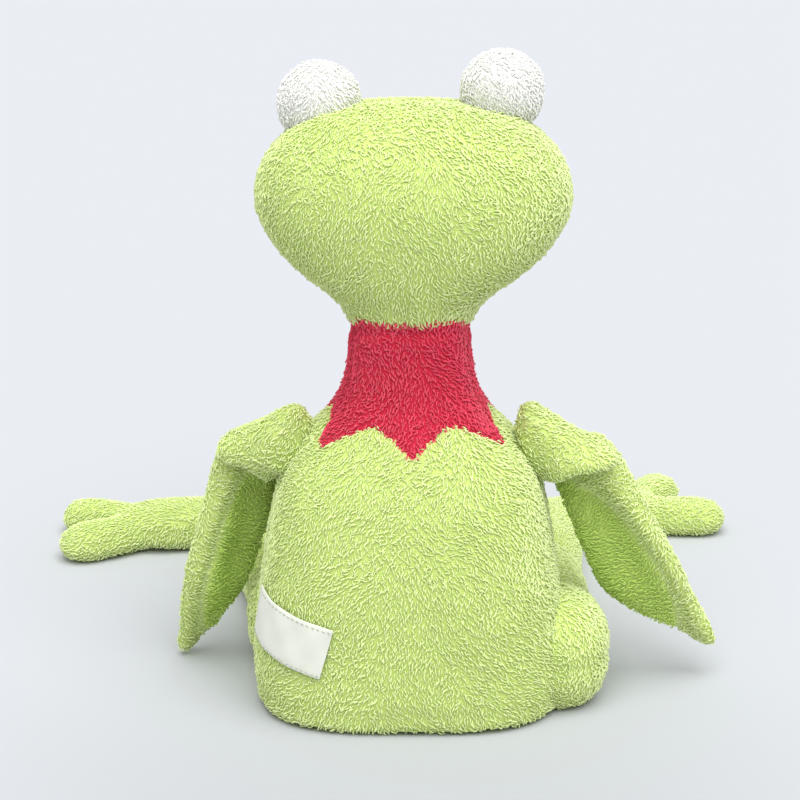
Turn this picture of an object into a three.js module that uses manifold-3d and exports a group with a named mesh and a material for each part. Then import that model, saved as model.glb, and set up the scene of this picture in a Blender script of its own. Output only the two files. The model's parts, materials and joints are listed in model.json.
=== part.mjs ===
// A sitting plush frog: terry covers in panels round stuffed bodies, jointed where the cloth bends.
// Millimetres, +Z up, the frog faces -Y, its left hand is on +X, and the origin is the middle of its seat.
import * as THREE from "three";
import { mergeVertices } from "three/addons/utils/BufferGeometryUtils.js";
import Module from "manifold-3d";

const wasm = await Module();
wasm.setup();

// Cloth and clearances
const coverWall = 3; // terry cloth with its pile
const seamGap = 0.3; // between two pieces that touch
const fillingGap = 0.6; // between a cover and the stuffing in it
const jointGap = 0.5; // between a ball of stuffing and the socket round it
const closeGap = 0.35; // round heels, haunches and thighs, whose facets leave more room than that
const restCut = 0.5; // how deep the seat, thighs, shins and feet are cut flat where they stand
const feltWall = 1.2; // black felt of a pupil
const threadWall = 0.9; // stitched nostrils and mouth
const labelWall = 0.8; // woven label

// Torso and neck
const torsoWidth = 133;
const torsoDepth = 106;
const ringHeight = 159; // floor to the seam where neck meets head
const neckRadius = 26;
const neckForward = 3;
const neckBallRadius = 30;
const neckPlugLength = 33;
const seatPanelHeight = 9;
const sideSeamBack = 8; // the torso's side seam lies behind its middle
const collarPointHeight = 115;
const collarNotchHeight = 128;

// Head and face
const headWidth = 134;
const headDepth = 110;
const headHeight = 94;
const headForward = 18;
const headSway = 3.5; // the head leans this far to the frog's right
const mouthHeight = 30; // above the neck's ring
const eyeRadius = 17.8;
const eyeSpacing = 74;
const eyeSway = 2; // the eyes sit this far to the frog's right
const eyeRise = 89.5; // above the neck's ring
const eyeForward = 24;
const pupilRadius = 6.5;
const nostrilRadius = 2.6;
const nostrilSpacing = 22;
const nostrilRise = 47; // above the neck's ring
const mouthWidth = 84;
const mouthSag = 13;
const mouthThread = 2.4;

// Label on the left of the back
const labelLength = 40;
const labelHeight = 22;
const labelRise = 38.5;
const labelOut = 47; // to the frog's left
const labelBack = 40;
const labelTilt = -12.5; // degrees, its outer end up
const labelTurn = -38; // degrees, with the torso's side

// Arms
const shoulderOut = 51;
const shoulderHeight = 108;
const shoulderRadius = 18;
const shoulderHalfDepth = 13;
const upperArmLength = 25; // shoulder to the elbow's fold
const upperArmWidth = 32;
const upperArmThickness = 23;
const forearmLength = 102;
const forearmWidth = 33;
const forearmThickness = 20;
const armpitClearance = 1.5;

// Legs
const hipRadius = 27.5;
const hipHalfWidth = 24.5;
const hipOuts = { left: 46, right: 62.5 };
const hipBacks = { left: -28, right: 8 }; // the left leg sits pushed forward into the belly
const thighLengths = { left: 48, right: 74 }; // hip to knee
const thighWidth = 42;
const thighHeight = 43;
const shinLength = 100; // knee to ankle
const shinWidth = 38;
const shinHeight = 40;
const heelRadius = 18;
const footLength = 88; // ankle to the tips of the toes
const footWidth = 40;
const footHeight = 23;
const toeLength = 54;
const toeWidth = 26;
const toeHeight = 19;

// How far each joint turns, in degrees from the sitting pose; a hip's range in steps
const hipLifts = { left: [-10, -5, 0, 8, 16, 24], right: [-10, -5, 0, 4, 8, 12, 17, 24] };
const kneeRange = [-25, 45];
const footTurnedOut = 10;
const elbowRanges = { left: [-4, 50], right: [-25, 50] };

// The sitting pose: directions are degrees out from straight ahead or down from level
const sides = { left: 1, right: -1 };
const seatedPose = {
  left: { thighTurn: 10, shinTurn: 14, footTurn: 94, armBack: -39, armDroop: 28 },
  right: { thighTurn: -2, shinTurn: 6, footTurn: 58, armBack: 12, armDroop: 22 },
};
// The fold's line and the forearm's direction, each as shares out, back and up
const foldShares = { left: [-0.76, -0.25, -0.6], right: [0.878, 0.251, 0.407] };
const forearmShares = { left: [0.26, -0.22, -0.94], right: [0.542, -0.194, -0.818] };
// The forearm's broad way, out, back and up: it hangs with its flat side towards the torso
const forearmBroadShares = { left: [0.63, 0.77, 0], right: [0.74, 0.58, 0.35] };

// Facets
const bodySides = 16;
const limbSides = 8;
const ballSides = 10;
const insideShare = 0.5; // the inside of a cover has this share of the outside's facets

const cutReach = 2 * (ringHeight + headHeight);
const neckBall = new THREE.Vector3(
  0, -neckForward, ringHeight - Math.sqrt(neckBallRadius ** 2 - neckRadius ** 2));

// Profiles, bottom to top: height, width and depth from the neck's size (0) to the fullest (1), shift
const torsoShares = [
  [0.0, 0.84, 0.86, 0], [0.04, 0.94, 0.95, 0], [0.1, 0.98, 0.985, 0], [0.19, 1.0, 1.0, 0],
  [0.38, 0.96, 0.95, 0], [0.565, 0.827, 0.76, 0.15], [0.66, 0.65, 0.58, 0.3],
  [0.72, 0.42, 0.39, 0.45], [0.77, 0.21, 0.22, 0.65], [0.83, 0.07, 0.09, 0.85], [0.93, 0.01, 0.01, 1],
  [1.0, 0.0, 0.0, 1],
];
const headShares = [
  [0.0, 0.0, 0.0, 0], [0.05, 0.02, 0.06, 0.07], [0.12, 0.14, 0.25, 0.22], [0.19, 0.34, 0.45, 0.42],
  [0.27, 0.58, 0.66, 0.66], [0.37, 0.8, 0.85, 0.87], [0.5, 0.97, 0.97, 1], [0.63, 0.965, 0.9, 0.96],
  [0.76, 0.81, 0.68, 0.86], [0.9, 0.44, 0.2, 0.78], [0.98, -0.12, -0.38, 0.78],
];

// Limb profiles, root to tip: distance along, width, thickness
const armRootShares = [
  [0.0, 0.86, 0.86], [0.2, 0.98, 0.98], [0.5, 1.0, 1.0], [0.8, 0.98, 0.98], [1.0, 0.86, 0.86],
];
const forearmProfileShares = [
  [0.0, 0.8, 0.8], [0.08, 0.9, 0.98], [0.22, 0.96, 1.0], [0.42, 1.0, 0.98], [0.62, 0.93, 0.88],
  [0.8, 0.64, 0.68], [0.93, 0.34, 0.42], [0.985, 0.15, 0.2],
];
const thighProfileShares = [
  [0.0, 0.9, 0.9], [0.3, 1.0, 1.0], [0.75, 0.99, 0.99], [1.0, 0.86, 0.9],
];
const shinProfileShares = [
  [0.0, 0.82, 0.88], [0.12, 0.98, 1.0], [0.35, 1.0, 0.97], [0.65, 0.88, 0.8], [0.85, 0.78, 0.64],
  [1.0, 0.7, 0.56],
];
const footProfileShares = [
  [0.0, 0.9, 1.0], [0.4, 0.86, 0.94], [0.8, 0.82, 0.75], [0.97, 0.42, 0.42],
];
const toeProfileShares = [
  [0.0, 0.6, 0.6], [0.35, 0.92, 0.95], [0.82, 0.96, 0.88], [0.985, 0.42, 0.42],
];
const pillowPower = 2.25; // 2 is an oval section, more is squarer
const toeTurns = [-25, 25];
const padShare = 0.72; // how far along the foot its pad reaches

const green = { color: 0xcfe08f, roughness: 0.95, metalness: 0 };
const red = { color: 0xc9354d, roughness: 0.95, metalness: 0 };
const white = { color: 0xf4f3ed, roughness: 0.95, metalness: 0 };
const black = { color: 0x17181a, roughness: 0.6, metalness: 0 };
const fibre = { color: 0xf7f7f4, roughness: 1, metalness: 0 };
const thread = { color: 0x44602a, roughness: 0.8, metalness: 0 };

const degrees = THREE.MathUtils.degToRad;
const up = new THREE.Vector3(0, 0, 1);
const mix = THREE.MathUtils.lerp;

function toManifold(geometry) {
  const bare = geometry.clone();
  bare.deleteAttribute("normal");
  bare.deleteAttribute("uv");
  const merged = mergeVertices(bare);
  return new wasm.Manifold(new wasm.Mesh({
    numProp: 3,
    vertProperties: new Float32Array(merged.attributes.position.array),
    triVerts: new Uint32Array(merged.index.array),
  }));
}

function toGeometry(solid) {
  const mesh = solid.getMesh();
  const geometry = new THREE.BufferGeometry();
  geometry.setAttribute("position", new THREE.BufferAttribute(mesh.vertProperties, 3));
  geometry.setIndex(new THREE.BufferAttribute(mesh.triVerts, 1));
  geometry.computeVertexNormals();
  return geometry;
}

// Facets round a form: the hidden inside is coarser than the outside.
function facets(count, grow) {
  return grow < 0 ? Math.round(count * insideShare) : count;
}

// The rows of a profile that a form uses: every second one on the inside, with both ends.
function profileRows(shares, grow) {
  return grow < 0 ? shares.filter((row, i) => i % 2 === 0 || i === shares.length - 1) : shares;
}

// The largest of the bodies that a cut leaves.
function mainBody(solid) {
  return solid.decompose().reduce((best, body) => (body.volume() > best.volume() ? body : best));
}

// A closed skin over rings of equally many points, with a pole past each end.
function skinOver(rings, firstPole, lastPole) {
  const count = rings[0].length;
  const points = [...rings.flat(), firstPole, lastPole];
  const first = rings.length * count;
  const faces = [];
  for (let i = 0; i < count; i++) {
    const next = (i + 1) % count;
    faces.push(first, next, i);
    const top = (rings.length - 1) * count;
    faces.push(first + 1, top + i, top + next);
    for (let ring = 0; ring < rings.length - 1; ring++) {
      const a = ring * count + i;
      const b = ring * count + next;
      faces.push(a, b, b + count, a, b + count, a + count);
    }
  }
  const geometry = new THREE.BufferGeometry().setFromPoints(points);
  geometry.setIndex(faces);
  return toManifold(geometry);
}

function ovalRing(centre, across, through, halfAcross, halfThrough, count) {
  const ring = [];
  for (let i = 0; i < count; i++) {
    const angle = (2 * Math.PI * i) / count;
    const c = Math.cos(angle);
    const s = Math.sin(angle);
    const reachAcross = halfAcross * Math.sign(c) * Math.abs(c) ** (2 / pillowPower);
    const reachThrough = halfThrough * Math.sign(s) * Math.abs(s) ** (2 / pillowPower);
    ring.push(centre.clone().addScaledVector(across, reachAcross).addScaledVector(through, reachThrough));
  }
  return ring;
}

// Removes what lies past a plane; setBack moves the plane back into what is kept.
function past(point, normal, setBack) {
  const block = new THREE.BoxGeometry(cutReach, cutReach, cutReach);
  block.translate(0, 0, cutReach / 2);
  block.applyQuaternion(new THREE.Quaternion().setFromUnitVectors(up, normal.clone().normalize()));
  block.translate(...point.clone().addScaledVector(normal.clone().normalize(), -setBack).toArray());
  return toManifold(block);
}

function ball(centre, radius, squash = new THREE.Vector3(1, 1, 1), count = ballSides) {
  const geometry = new THREE.SphereGeometry(radius, count, Math.round(count / 2));
  geometry.rotateX(Math.PI / 2);
  geometry.scale(squash.x, squash.y, squash.z);
  geometry.translate(centre.x, centre.y, centre.z);
  return toManifold(geometry);
}

// A ball's socket, wide enough that the ball's corners clear the socket's flats.
function socket(centre, radius, squash, count = ballSides) {
  const flats = Math.cos(Math.PI / count) ** 2;
  return ball(centre, radius / flats, squash, count);
}

const ground = (setBack) => past(new THREE.Vector3(), up.clone().negate(), setBack);

// Every stuffed form below is a function of grow: 0 gives its outside, less gives its inside.
function torsoForm(grow) {
  const rows = profileRows(torsoShares, grow);
  const rings = rows.map(([heightShare, widthShare, depthShare, shiftShare]) => ovalRing(
    new THREE.Vector3(0, -neckForward * shiftShare, mix(-restCut, ringHeight, heightShare)),
    new THREE.Vector3(1, 0, 0), new THREE.Vector3(0, 1, 0),
    mix(neckRadius, torsoWidth / 2, widthShare) + grow,
    mix(neckRadius, torsoDepth / 2, depthShare) + grow, facets(bodySides, grow)));
  return skinOver(rings, new THREE.Vector3(0, 0, -restCut - seamGap),
    new THREE.Vector3(0, -neckForward, ringHeight + seamGap));
}

const headRoll = degrees(1.2);
const eyeRoll = degrees(3.7); // the right eye is sewn on higher

function headForm(grow) {
  const rings = profileRows(headShares, grow).map(([heightShare, widthShare, depthShare, shiftShare]) => {
    const height = ringHeight + (headHeight + grow) * heightShare;
    const ring = ovalRing(
      new THREE.Vector3(-headSway * shiftShare, -neckForward - headForward * shiftShare, height),
      new THREE.Vector3(1, 0, 0), new THREE.Vector3(0, 1, 0),
      mix(neckRadius, headWidth / 2, widthShare) + grow,
      mix(neckRadius, headDepth / 2, depthShare) + grow, facets(bodySides, grow));
    ring.forEach((point) => { point.z -= point.x * Math.sin(headRoll) * shiftShare; });
    return ring;
  });
  const crown = new THREE.Vector3(-headSway, -neckForward - headForward, ringHeight + headHeight + grow);
  return skinOver(rings, new THREE.Vector3(0, -neckForward, ringHeight - seamGap), crown);
}

// A limb that swells and tapers from start along a direction; across is its broad way.
function limbForm(start, along, across, size, profileShares) {
  const direction = along.clone().normalize();
  const through = new THREE.Vector3().crossVectors(direction, across).normalize();
  const broad = new THREE.Vector3().crossVectors(through, direction);
  const at = (distance) => start.clone().addScaledVector(direction, distance);
  return (grow) => {
    const full = size.length + 2 * grow;
    const rings = [];
    for (const [share, widthShare, thicknessShare] of profileRows(profileShares, grow)) {
      const halfWidth = (size.width * widthShare) / 2 + grow;
      const halfThickness = (size.thickness * thicknessShare) / 2 + grow;
      if (Math.min(halfWidth, halfThickness) > fillingGap) {
        rings.push(ovalRing(
          at(share * full - grow), broad, through, halfWidth, halfThickness, facets(limbSides, grow)));
      }
    }
    return skinOver(rings, at(-grow - seamGap), at(size.length + grow));
  };
}

// The two pairs of planes at a hinge. Along k, a positive turn swings the child towards k x m.
function hingeFaces(point, axis, towardChild, [low, high]) {
  const k = axis.clone().normalize();
  const m = towardChild.clone().addScaledVector(k, -towardChild.dot(k)).normalize();
  const t = new THREE.Vector3().crossVectors(k, m);
  const face = (sign, side, angle) => m.clone().multiplyScalar(sign * Math.cos(degrees(angle / 2)))
    .addScaledVector(t, side * Math.sin(degrees(angle / 2)));
  return {
    point,
    parent: [face(1, 1, high), face(1, -1, -low)],
    child: [face(-1, 1, high), face(-1, -1, -low)],
  };
}

// The matrix of a turn in degrees about an axis through a point
function turnAbout(point, axis, angle) {
  return new THREE.Matrix4().makeTranslation(point)
    .multiply(new THREE.Matrix4().makeRotationAxis(axis, degrees(angle)))
    .multiply(new THREE.Matrix4().makeTranslation(point.clone().negate())).toArray();
}

const trim = (solid, point, normals, grow) => normals.reduce(
  (kept, normal) => kept.subtract(past(point, normal, seamGap / 2 - grow)), solid);

// Cover panels and filling of one stuffed body
const pieces = new THREE.Group();

function addMesh(name, solid, finish) {
  const mesh = new THREE.Mesh(toGeometry(mainBody(solid)), new THREE.MeshStandardMaterial(finish));
  mesh.name = name;
  pieces.add(mesh);
}

// Splits a body's cover at a seam plane into two panels and puts the filling inside.
function addStuffed(name, form, seamPoint, seamNormal, panelNames, finish = green) {
  const cover = form(0).subtract(form(-coverWall));
  const other = seamNormal.clone().negate();
  addMesh(`${name}_${panelNames[0]}_panel`, cover.subtract(past(seamPoint, other, seamGap / 2)), finish);
  addMesh(`${name}_${panelNames[1]}_panel`, cover.subtract(past(seamPoint, seamNormal, seamGap / 2)), finish);
  addMesh(`${name}_stuffing`, form(-coverWall - fillingGap), fibre);
}

// Places of the joints
const discAcrossDepth = new THREE.Vector3(1, shoulderHalfDepth / shoulderRadius, 1);
const discAcrossWidth = new THREE.Vector3(hipHalfWidth / hipRadius, 1, 1);

function onSide(side, [out, back, height]) {
  return new THREE.Vector3(sides[side] * out, back, height);
}

function levelDirection(side, turn) {
  return onSide(side, [Math.sin(degrees(turn)), -Math.cos(degrees(turn)), 0]);
}

const joints = {};
for (const side of Object.keys(sides)) {
  const pose = seatedPose[side];
  const shoulder = onSide(side, [shoulderOut, 0, shoulderHeight]);
  const droop = degrees(pose.armDroop);
  const back = degrees(pose.armBack);
  const armDirection = onSide(side, [
    Math.cos(droop) * Math.cos(back), Math.cos(droop) * Math.sin(back), -Math.sin(droop)]);
  const elbow = shoulder.clone().addScaledVector(armDirection, upperArmLength);
  const hip = onSide(side, [hipOuts[side], hipBacks[side], hipRadius - restCut]);
  const thighDirection = levelDirection(side, pose.thighTurn);
  const knee = hip.clone().addScaledVector(thighDirection, thighLengths[side]).setZ(thighHeight / 2 - restCut);
  const shinDirection = levelDirection(side, pose.shinTurn);
  const ankle = knee.clone().addScaledVector(shinDirection, shinLength).setZ(footHeight / 2 - restCut);
  joints[side] = {
    shoulder, elbow, hip, knee, ankle, armDirection, thighDirection, shinDirection,
    fold: onSide(side, foldShares[side]).normalize(),
    forearmDirection: onSide(side, forearmShares[side]).normalize(),
    forearmBroad: onSide(side, forearmBroadShares[side]).normalize(),
    footDirection: levelDirection(side, pose.footTurn),
  };
}

// Torso: sockets for both shoulders and hips are scooped out of it
function torsoBody(grow) {
  let body = torsoForm(grow).subtract(ground(-grow));
  for (const side of Object.keys(sides)) {
    body = body.subtract(socket(joints[side].shoulder, shoulderRadius + jointGap - grow, discAcrossDepth));
    body = body.subtract(socket(joints[side].hip, hipRadius + closeGap - grow, discAcrossWidth));
  }
  return body;
}

// The collar's zone: all above a zigzag line of six points round the neck.
function collarZone(lift) {
  const count = 12;
  const ringAt = (radius, heightOf) => Array.from({ length: count }, (_, i) => {
    const angle = (2 * Math.PI * i) / count + Math.PI / 2;
    return new THREE.Vector3(radius * Math.cos(angle), radius * Math.sin(angle) - neckForward, heightOf(i));
  });
  const zigzag = (i) => (i % 2 ? collarNotchHeight : collarPointHeight) + lift;
  const top = () => ringHeight + neckRadius;
  return skinOver(
    [ringAt(neckRadius / 2, zigzag), ringAt(torsoWidth, zigzag), ringAt(torsoWidth, top)],
    new THREE.Vector3(0, -neckForward, mix(collarPointHeight, collarNotchHeight, 0.5) + lift),
    new THREE.Vector3(0, -neckForward, ringHeight + neckRadius));
}

const neckRing = new THREE.Vector3(0, 0, ringHeight);
const torsoCover = torsoBody(0).subtract(past(neckRing, up, seamGap)).subtract(torsoBody(-coverWall));
const seatPlane = new THREE.Vector3(0, 0, seatPanelHeight);
const sideSeam = new THREE.Vector3(0, sideSeamBack, 0);
const backwards = new THREE.Vector3(0, 1, 0);
const forwards = backwards.clone().negate();
const greenCover = torsoCover.subtract(collarZone(-seamGap));
const bodyCover = greenCover.subtract(past(seatPlane, up.clone().negate(), seamGap / 2));
addMesh("torso_back_panel", bodyCover.subtract(past(sideSeam, forwards, seamGap / 2)), green);
addMesh("torso_belly_panel", bodyCover.subtract(past(sideSeam, backwards, seamGap / 2)), green);
addMesh("torso_seat_panel", greenCover.subtract(past(seatPlane, up, seamGap / 2)), green);
addMesh("neck_collar", torsoCover.intersect(collarZone(0)), red);
const plugBase = new THREE.Vector3(0, 0, ringHeight - neckPlugLength);
addMesh("torso_stuffing", torsoBody(-coverWall - fillingGap).subtract(past(plugBase, up, seamGap)), fibre);

// Neck stuffing: a round plug whose ball end the head turns and nods on
function neckPlug() {
  const flats = Math.cos(Math.PI / facets(bodySides, -coverWall));
  const radius = (neckRadius - coverWall) * flats - fillingGap;
  const rim = Math.asin(radius / neckBallRadius);
  const steps = 6;
  const outline = [new THREE.Vector2(0, plugBase.z), new THREE.Vector2(radius, plugBase.z)];
  for (let i = 0; i <= steps; i++) {
    const angle = rim * (1 - i / steps);
    const reach = i === steps ? 0 : neckBallRadius * Math.sin(angle);
    outline.push(new THREE.Vector2(reach, neckBall.z + neckBallRadius * Math.cos(angle)));
  }
  const plug = new THREE.LatheGeometry(outline, bodySides);
  plug.rotateX(Math.PI / 2);
  plug.translate(0, -neckForward, 0);
  return toManifold(plug);
}
addMesh("neck_stuffing", neckPlug(), fibre);

// Head: a wide lozenge with a snout, open below, whose stuffing sits on the neck's ball
const neckSocket = socket(neckBall, neckBallRadius + jointGap, undefined, bodySides);
const headCover = mainBody(headForm(0).subtract(neckSocket)).subtract(headForm(-coverWall));
const headSeam = new THREE.Vector3(0, -neckForward - headForward, 0);
const mouthPlane = new THREE.Vector3(0, 0, ringHeight + mouthHeight);
const headFront = headCover.subtract(past(headSeam, backwards, seamGap / 2));
addMesh("head_back_panel", headCover.subtract(past(headSeam, forwards, seamGap / 2)), green);
addMesh("head_face_panel", headFront.subtract(past(mouthPlane, up.clone().negate(), seamGap / 2)), green);
addMesh("head_chin_panel", headFront.subtract(past(mouthPlane, up, seamGap / 2)), green);
addMesh("head_stuffing", headForm(-coverWall - fillingGap).subtract(neckSocket), fibre);

// Eyes: white terry balls set into the top of the head, with felt pupils
for (const [side, sign] of Object.entries(sides)) {
  const out = (sign * eyeSpacing) / 2 - eyeSway;
  const centre = new THREE.Vector3(
    out, -neckForward - eyeForward, ringHeight + eyeRise - out * Math.sin(eyeRoll));
  const headUnderEye = headForm(seamGap);
  const eyeBall = (radius) => ball(centre, radius, undefined, bodySides);
  addMesh(`eye_${side}_cover`, eyeBall(eyeRadius).subtract(eyeBall(eyeRadius - coverWall))
    .subtract(headUnderEye), white);
  addMesh(`eye_${side}_stuffing`, eyeBall(eyeRadius - coverWall - seamGap).subtract(headUnderEye), fibre);
  const gaze = new THREE.CylinderGeometry(pupilRadius, pupilRadius, 2 * eyeRadius, ballSides);
  gaze.translate(0, -eyeRadius, 0);
  gaze.translate(centre.x, centre.y, centre.z);
  const felt = eyeBall(eyeRadius + seamGap + feltWall).subtract(eyeBall(eyeRadius + seamGap));
  addMesh(`pupil_${side}`, felt.intersect(toManifold(gaze)), black);
  const post = new THREE.CylinderGeometry(nostrilRadius, nostrilRadius, headDepth, limbSides);
  post.translate((sign * nostrilSpacing) / 2 - headSway, -headDepth / 2 - headForward, ringHeight + nostrilRise);
  const stitch = headForm(seamGap + threadWall).subtract(headForm(seamGap));
  addMesh(`nostril_${side}`, stitch.intersect(toManifold(post)), thread);
}

// Mouth: one stitched line that follows a sagging arc across the snout
function mouthBand() {
  const radius = (mouthWidth ** 2 / 4 + mouthSag ** 2) / (2 * mouthSag);
  const half = Math.asin(mouthWidth / 2 / radius);
  const bottom = -Math.PI / 2;
  const arc = new THREE.Shape();
  arc.absarc(0, 0, radius + mouthThread / 2, bottom - half, bottom + half, false);
  arc.absarc(0, 0, radius - mouthThread / 2, bottom + half, bottom - half, true);
  const band = new THREE.ExtrudeGeometry(arc, { depth: headDepth, bevelEnabled: false, curveSegments: 10 });
  band.rotateX(Math.PI / 2);
  band.translate(-headSway, -headForward, ringHeight + mouthHeight + mouthSag + radius - mouthSag);
  return toManifold(band);
}
const snoutThread = headForm(seamGap + threadWall).subtract(headForm(seamGap));
addMesh("mouth_stitching", snoutThread.intersect(mouthBand()), thread);

// Label: a bare woven strip sewn flat to the left of the back
function labelBlock() {
  const block = new THREE.BoxGeometry(labelLength, torsoDepth / 2, labelHeight);
  block.rotateY(degrees(labelTilt));
  block.rotateZ(degrees(labelTurn));
  block.translate(labelOut, labelBack, labelRise);
  return toManifold(block);
}
const labelSheet = torsoForm(seamGap + labelWall).subtract(torsoForm(seamGap));
addMesh("back_label", labelSheet.intersect(labelBlock()), white);

// Arms: a round root in the torso's socket, a short upper arm, a fold, and a forearm with its hand
for (const side of Object.keys(sides)) {
  const joint = joints[side];
  const thin = new THREE.Vector3().crossVectors(joint.armDirection, joint.fold).normalize();
  const elbowFaces = hingeFaces(joint.elbow, joint.fold, joint.armDirection.clone()
    .add(joint.forearmDirection), elbowRanges[side]);
  const sleeve = limbForm(joint.shoulder, joint.armDirection, joint.fold,
    { length: upperArmLength + upperArmWidth, width: upperArmWidth, thickness: upperArmThickness },
    armRootShares);
  const upperArm = (grow) => trim(
    ball(joint.shoulder, shoulderRadius + grow, discAcrossDepth)
      .add(sleeve(grow).subtract(torsoForm(seamGap - grow))),
    joint.elbow, elbowFaces.parent, grow);
  addStuffed(`upper_arm_${side}`, (grow) => mainBody(upperArm(grow)), joint.shoulder,
    thin.y > 0 ? thin : thin.clone().negate(), ["back", "front"]);

  const lead = forearmWidth / 3;
  const handStart = joint.elbow.clone().addScaledVector(joint.forearmDirection, -lead);
  const hand = limbForm(handStart, joint.forearmDirection, joint.forearmBroad,
    { length: forearmLength + lead, width: forearmWidth, thickness: forearmThickness },
    forearmProfileShares);
  const forearm = (grow) => trim(
    hand(grow).subtract(torsoForm(armpitClearance - grow)).subtract(ground(-grow))
      .subtract(ball(joint.hip, hipRadius + armpitClearance - grow, discAcrossWidth)),
    joint.elbow, elbowFaces.child, grow);
  const flat = new THREE.Vector3().crossVectors(joint.forearmDirection, joint.forearmBroad).normalize();
  addStuffed(`forearm_${side}`, (grow) => mainBody(forearm(grow)), joint.elbow,
    flat.y > 0 ? flat : flat.clone().negate(), ["back", "front"]);
}

// Legs: a round haunch in the torso's socket, a thigh, a shin and a two-toed foot turned out
for (const side of Object.keys(sides)) {
  const joint = joints[side];
  const level = (direction) => new THREE.Vector3().crossVectors(direction, up).normalize();
  const hipAxis = level(joint.thighDirection);
  const kneeAxis = level(joint.thighDirection.clone().add(joint.shinDirection));
  const kneeFaces = hingeFaces(joint.knee, kneeAxis,
    joint.thighDirection.clone().add(joint.shinDirection), kneeRange);
  const haunchTop = joint.hip.clone().setZ(thighHeight / 2 - restCut);
  const thighTube = limbForm(haunchTop, joint.thighDirection, level(joint.thighDirection),
    { length: thighLengths[side] + thighWidth / 2, width: thighWidth, thickness: thighHeight },
    thighProfileShares);
  const clearOfTorso = (tube, grow) => hipLifts[side].reduce((kept, lift) => kept.subtract(
    torsoForm(closeGap - grow).transform(turnAbout(joint.hip, hipAxis, -lift))), tube);
  const thigh = (grow) => trim(
    ball(joint.hip, hipRadius + grow, discAcrossWidth).add(clearOfTorso(thighTube(grow), grow))
      .subtract(ground(-grow)),
    joint.knee, kneeFaces.parent, grow);
  addStuffed(`thigh_${side}`, (grow) => mainBody(thigh(grow)), haunchTop, up, ["top", "under"]);

  const shinLead = shinWidth / 3;
  const shinStart = joint.knee.clone().addScaledVector(joint.shinDirection, -shinLead);
  shinStart.z = shinHeight / 2 - restCut;
  const ankleAbove = joint.ankle.clone().setZ((shinHeight * 0.56) / 2 - restCut);
  const shinTube = limbForm(shinStart, ankleAbove.sub(shinStart), level(joint.shinDirection),
    { length: shinLength + shinLead, width: shinWidth, thickness: shinHeight }, shinProfileShares);
  const heelHole = (grow) => {
    const radius = (heelRadius + closeGap - grow) / Math.cos(Math.PI / ballSides);
    const hole = new THREE.CylinderGeometry(radius, radius, 2 * shinHeight, ballSides);
    hole.rotateX(Math.PI / 2);
    hole.translate(joint.ankle.x, joint.ankle.y, joint.ankle.z);
    return toManifold(hole);
  };
  const turned = (turn) => joint.footDirection.clone().applyAxisAngle(up, degrees(turn));
  const footPad = (turn) => limbForm(joint.ankle, turned(turn), level(turned(turn)),
    { length: footLength * padShare, width: footWidth, thickness: footHeight }, footProfileShares);
  const heelDisc = new THREE.Vector3(1, 1, footHeight / 2 / heelRadius);
  const shin = (grow) => [0, sides[side] * footTurnedOut].reduce(
    (body, turn) => body.subtract(footPad(turn)(closeGap - grow)),
    trim(shinTube(grow).subtract(ground(-grow)).subtract(heelHole(grow)), joint.knee, kneeFaces.child, grow));
  addStuffed(`shin_${side}`, (grow) => mainBody(shin(grow)), joint.ankle.clone().setZ(footHeight / 2 - restCut),
    up, ["top", "under"]);

  const pad = footPad(0);
  const toes = toeTurns.map((turn) => {
    const root = joint.ankle.clone().addScaledVector(joint.footDirection, footLength - toeLength * 0.94);
    root.z = toeHeight / 2 - restCut;
    return limbForm(root, turned(turn), level(turned(turn)),
      { length: toeLength, width: toeWidth, thickness: toeHeight }, toeProfileShares);
  });
  const foot = (grow) => toes.reduce((body, toe) => body.add(toe(grow)), pad(grow))
    .add(ball(joint.ankle, heelRadius + grow, heelDisc)).subtract(ground(-grow));
  addStuffed(`foot_${side}`, (grow) => mainBody(foot(grow)), joint.ankle, up, ["top", "sole"]);
}

pieces.userData.joints = joints;

export default pieces;
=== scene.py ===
import json
import math
from collections import namedtuple

import bmesh
import bpy
import numpy as np
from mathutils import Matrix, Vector
from mathutils.bvhtree import BVHTree


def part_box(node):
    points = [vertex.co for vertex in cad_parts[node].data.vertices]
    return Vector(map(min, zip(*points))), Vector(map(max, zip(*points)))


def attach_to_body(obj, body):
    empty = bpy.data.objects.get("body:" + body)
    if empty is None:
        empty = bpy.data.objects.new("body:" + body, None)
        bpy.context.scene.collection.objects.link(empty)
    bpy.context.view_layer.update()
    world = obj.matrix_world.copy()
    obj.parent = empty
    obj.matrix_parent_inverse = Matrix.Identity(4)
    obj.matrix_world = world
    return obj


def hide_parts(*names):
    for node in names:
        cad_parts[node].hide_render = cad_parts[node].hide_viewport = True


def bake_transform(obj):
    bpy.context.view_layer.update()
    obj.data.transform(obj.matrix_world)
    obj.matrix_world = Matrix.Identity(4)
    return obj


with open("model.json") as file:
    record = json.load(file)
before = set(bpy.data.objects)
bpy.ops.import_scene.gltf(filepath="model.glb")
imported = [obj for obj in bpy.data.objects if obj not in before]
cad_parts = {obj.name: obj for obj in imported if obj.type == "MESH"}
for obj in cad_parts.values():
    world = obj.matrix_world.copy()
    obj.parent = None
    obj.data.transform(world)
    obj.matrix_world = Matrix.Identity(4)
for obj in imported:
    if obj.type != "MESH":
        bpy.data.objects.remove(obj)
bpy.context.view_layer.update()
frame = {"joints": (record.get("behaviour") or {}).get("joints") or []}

bl_info = {
    "name": "Terry Frog",
    "version": (1, 0, 0),
    "blender": (4, 5, 0),
    "location": "3D View > Sidebar > Terry Frog",
    "description": "Makes a sitting frog of stuffed terry cloth and the stage it sits on",
    "category": "Add Mesh",
}

# Forms are worked out in millimetres and made in metres.
MM = 0.001
UP = np.array([0.0, 0.0, 1.0])
BACK = np.array([0.0, 1.0, 0.0])
SIDES = {"left": 1, "right": -1}

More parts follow.
